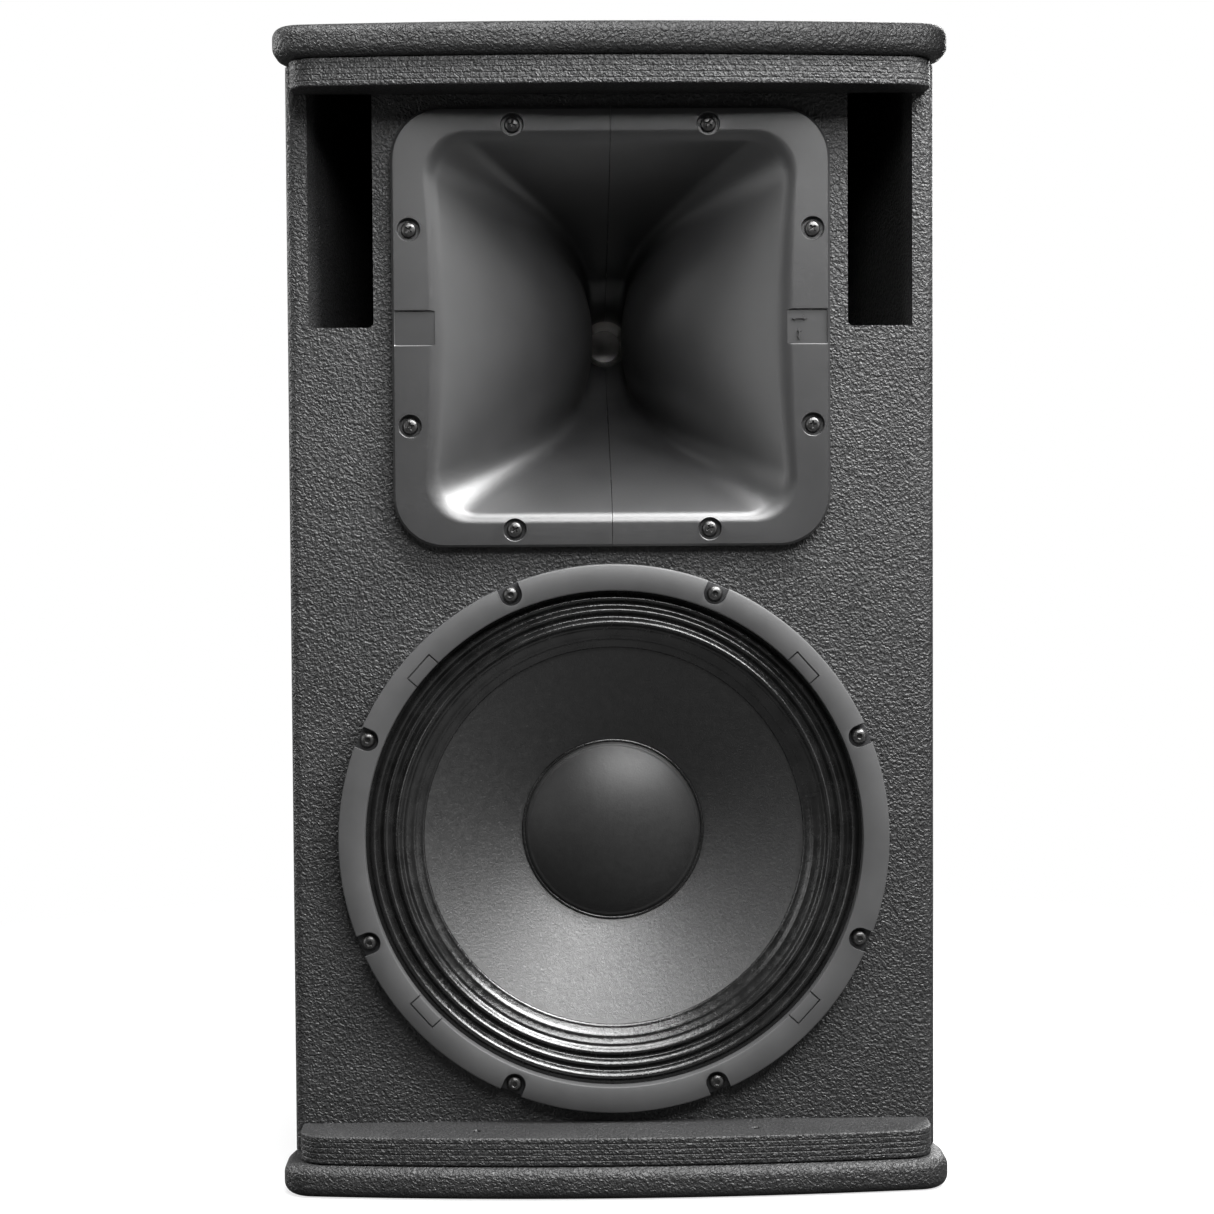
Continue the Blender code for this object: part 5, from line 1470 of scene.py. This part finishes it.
padding = mottled(
    "needled_fleece", dark=(0.36, 0.36, 0.34), light=(0.60, 0.60, 0.57), mottle=(900.0, 8.0, 0.75, 1.0),
    gloss=(300.0, 3.0), rough=(0.85, 1.0), relief=(1100.0, 8.0, 0.8, 2.0), height=0.0006, Sheen_Weight=0.4
)
pad_low, pad_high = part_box("damping_pad")
PAD_VOXEL = 0.006
PAD_SHRINK = 0.003
pad_middle = (pad_low + pad_high) / 2
pad_half = (pad_high - pad_low) / 2
pad_plan = box_outline(0.0, 0.0, pad_half.x - PAD_SHRINK, pad_half.z - PAD_SHRINK, 0.018, 6)
pad_rings = []
for shrink, y in ((0.004, 1.0), (0.0, 0.75), (0.0, -0.5), (0.004, -0.85)):
    ring = inset(pad_plan, shrink)
    pad_rings.append(
        np.column_stack(
            [
                ring[:, 0] + pad_middle.x, np.full(len(ring), pad_middle.y + y * (pad_half.y - PAD_SHRINK)),
                ring[:, 1] + pad_middle.z
            ]
        )
    )
pad_mesh = stacked("fleece_pad", pad_rings)
pad = bpy.data.objects.new("fleece_pad", pad_mesh)
scene.collection.objects.link(pad)


def keep_result(target, mesh_name):
    """The object's mesh with its modifiers worked in."""
    bpy.context.view_layer.update()
    result = bpy.data.meshes.new_from_object(target.evaluated_get(bpy.context.evaluated_depsgraph_get()))
    result.name = mesh_name
    target.modifiers.clear()
    target.data = result


remesh = pad.modifiers.new("even_skin", "REMESH")
remesh.mode = "VOXEL"
remesh.voxel_size = PAD_VOXEL
keep_result(pad, "fleece_pad_skin")


def place_of(mesh):
    """A mesh's points as rows."""
    points = np.zeros(len(mesh.vertices) * 3, np.float32)
    mesh.vertices.foreach_get("co", points)
    return points.reshape(-1, 3).astype(float)


PAD_SWELL = 0.004
started = place_of(pad.data)
loft = pad.modifiers.new("loft", "CLOTH")
loft.settings.use_pressure = True
loft.settings.uniform_pressure_force = 4.0
loft.settings.effector_weights.gravity = 0.0
for number in range(1, 21):
    scene.frame_set(number)
bpy.context.view_layer.update()
lofted = bpy.data.meshes.new_from_object(pad.evaluated_get(bpy.context.evaluated_depsgraph_get()))
move = place_of(lofted) - started
reach = np.maximum(np.linalg.norm(move, axis=1), 1e-9)
ended = started + move * np.minimum(1.0, PAD_SWELL / reach)[:, None]
pad.modifiers.clear()
scene.frame_set(1)
ended = np.clip(ended, np.array(pad_low) + 0.0002, np.array(pad_high) - 0.0002)
pad.data.vertices.foreach_set("co", ended.astype(np.float32).ravel())
pad.data.update()
finer = pad.modifiers.new("finer", "SUBSURF")
finer.levels = finer.render_levels = 1
keep_result(pad, "fleece_pad_lofted")
pad.data.materials.clear()
pad.data.materials.append(padding)
pad.data.shade_smooth()
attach(pad, "cabinet")
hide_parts("damping_pad")
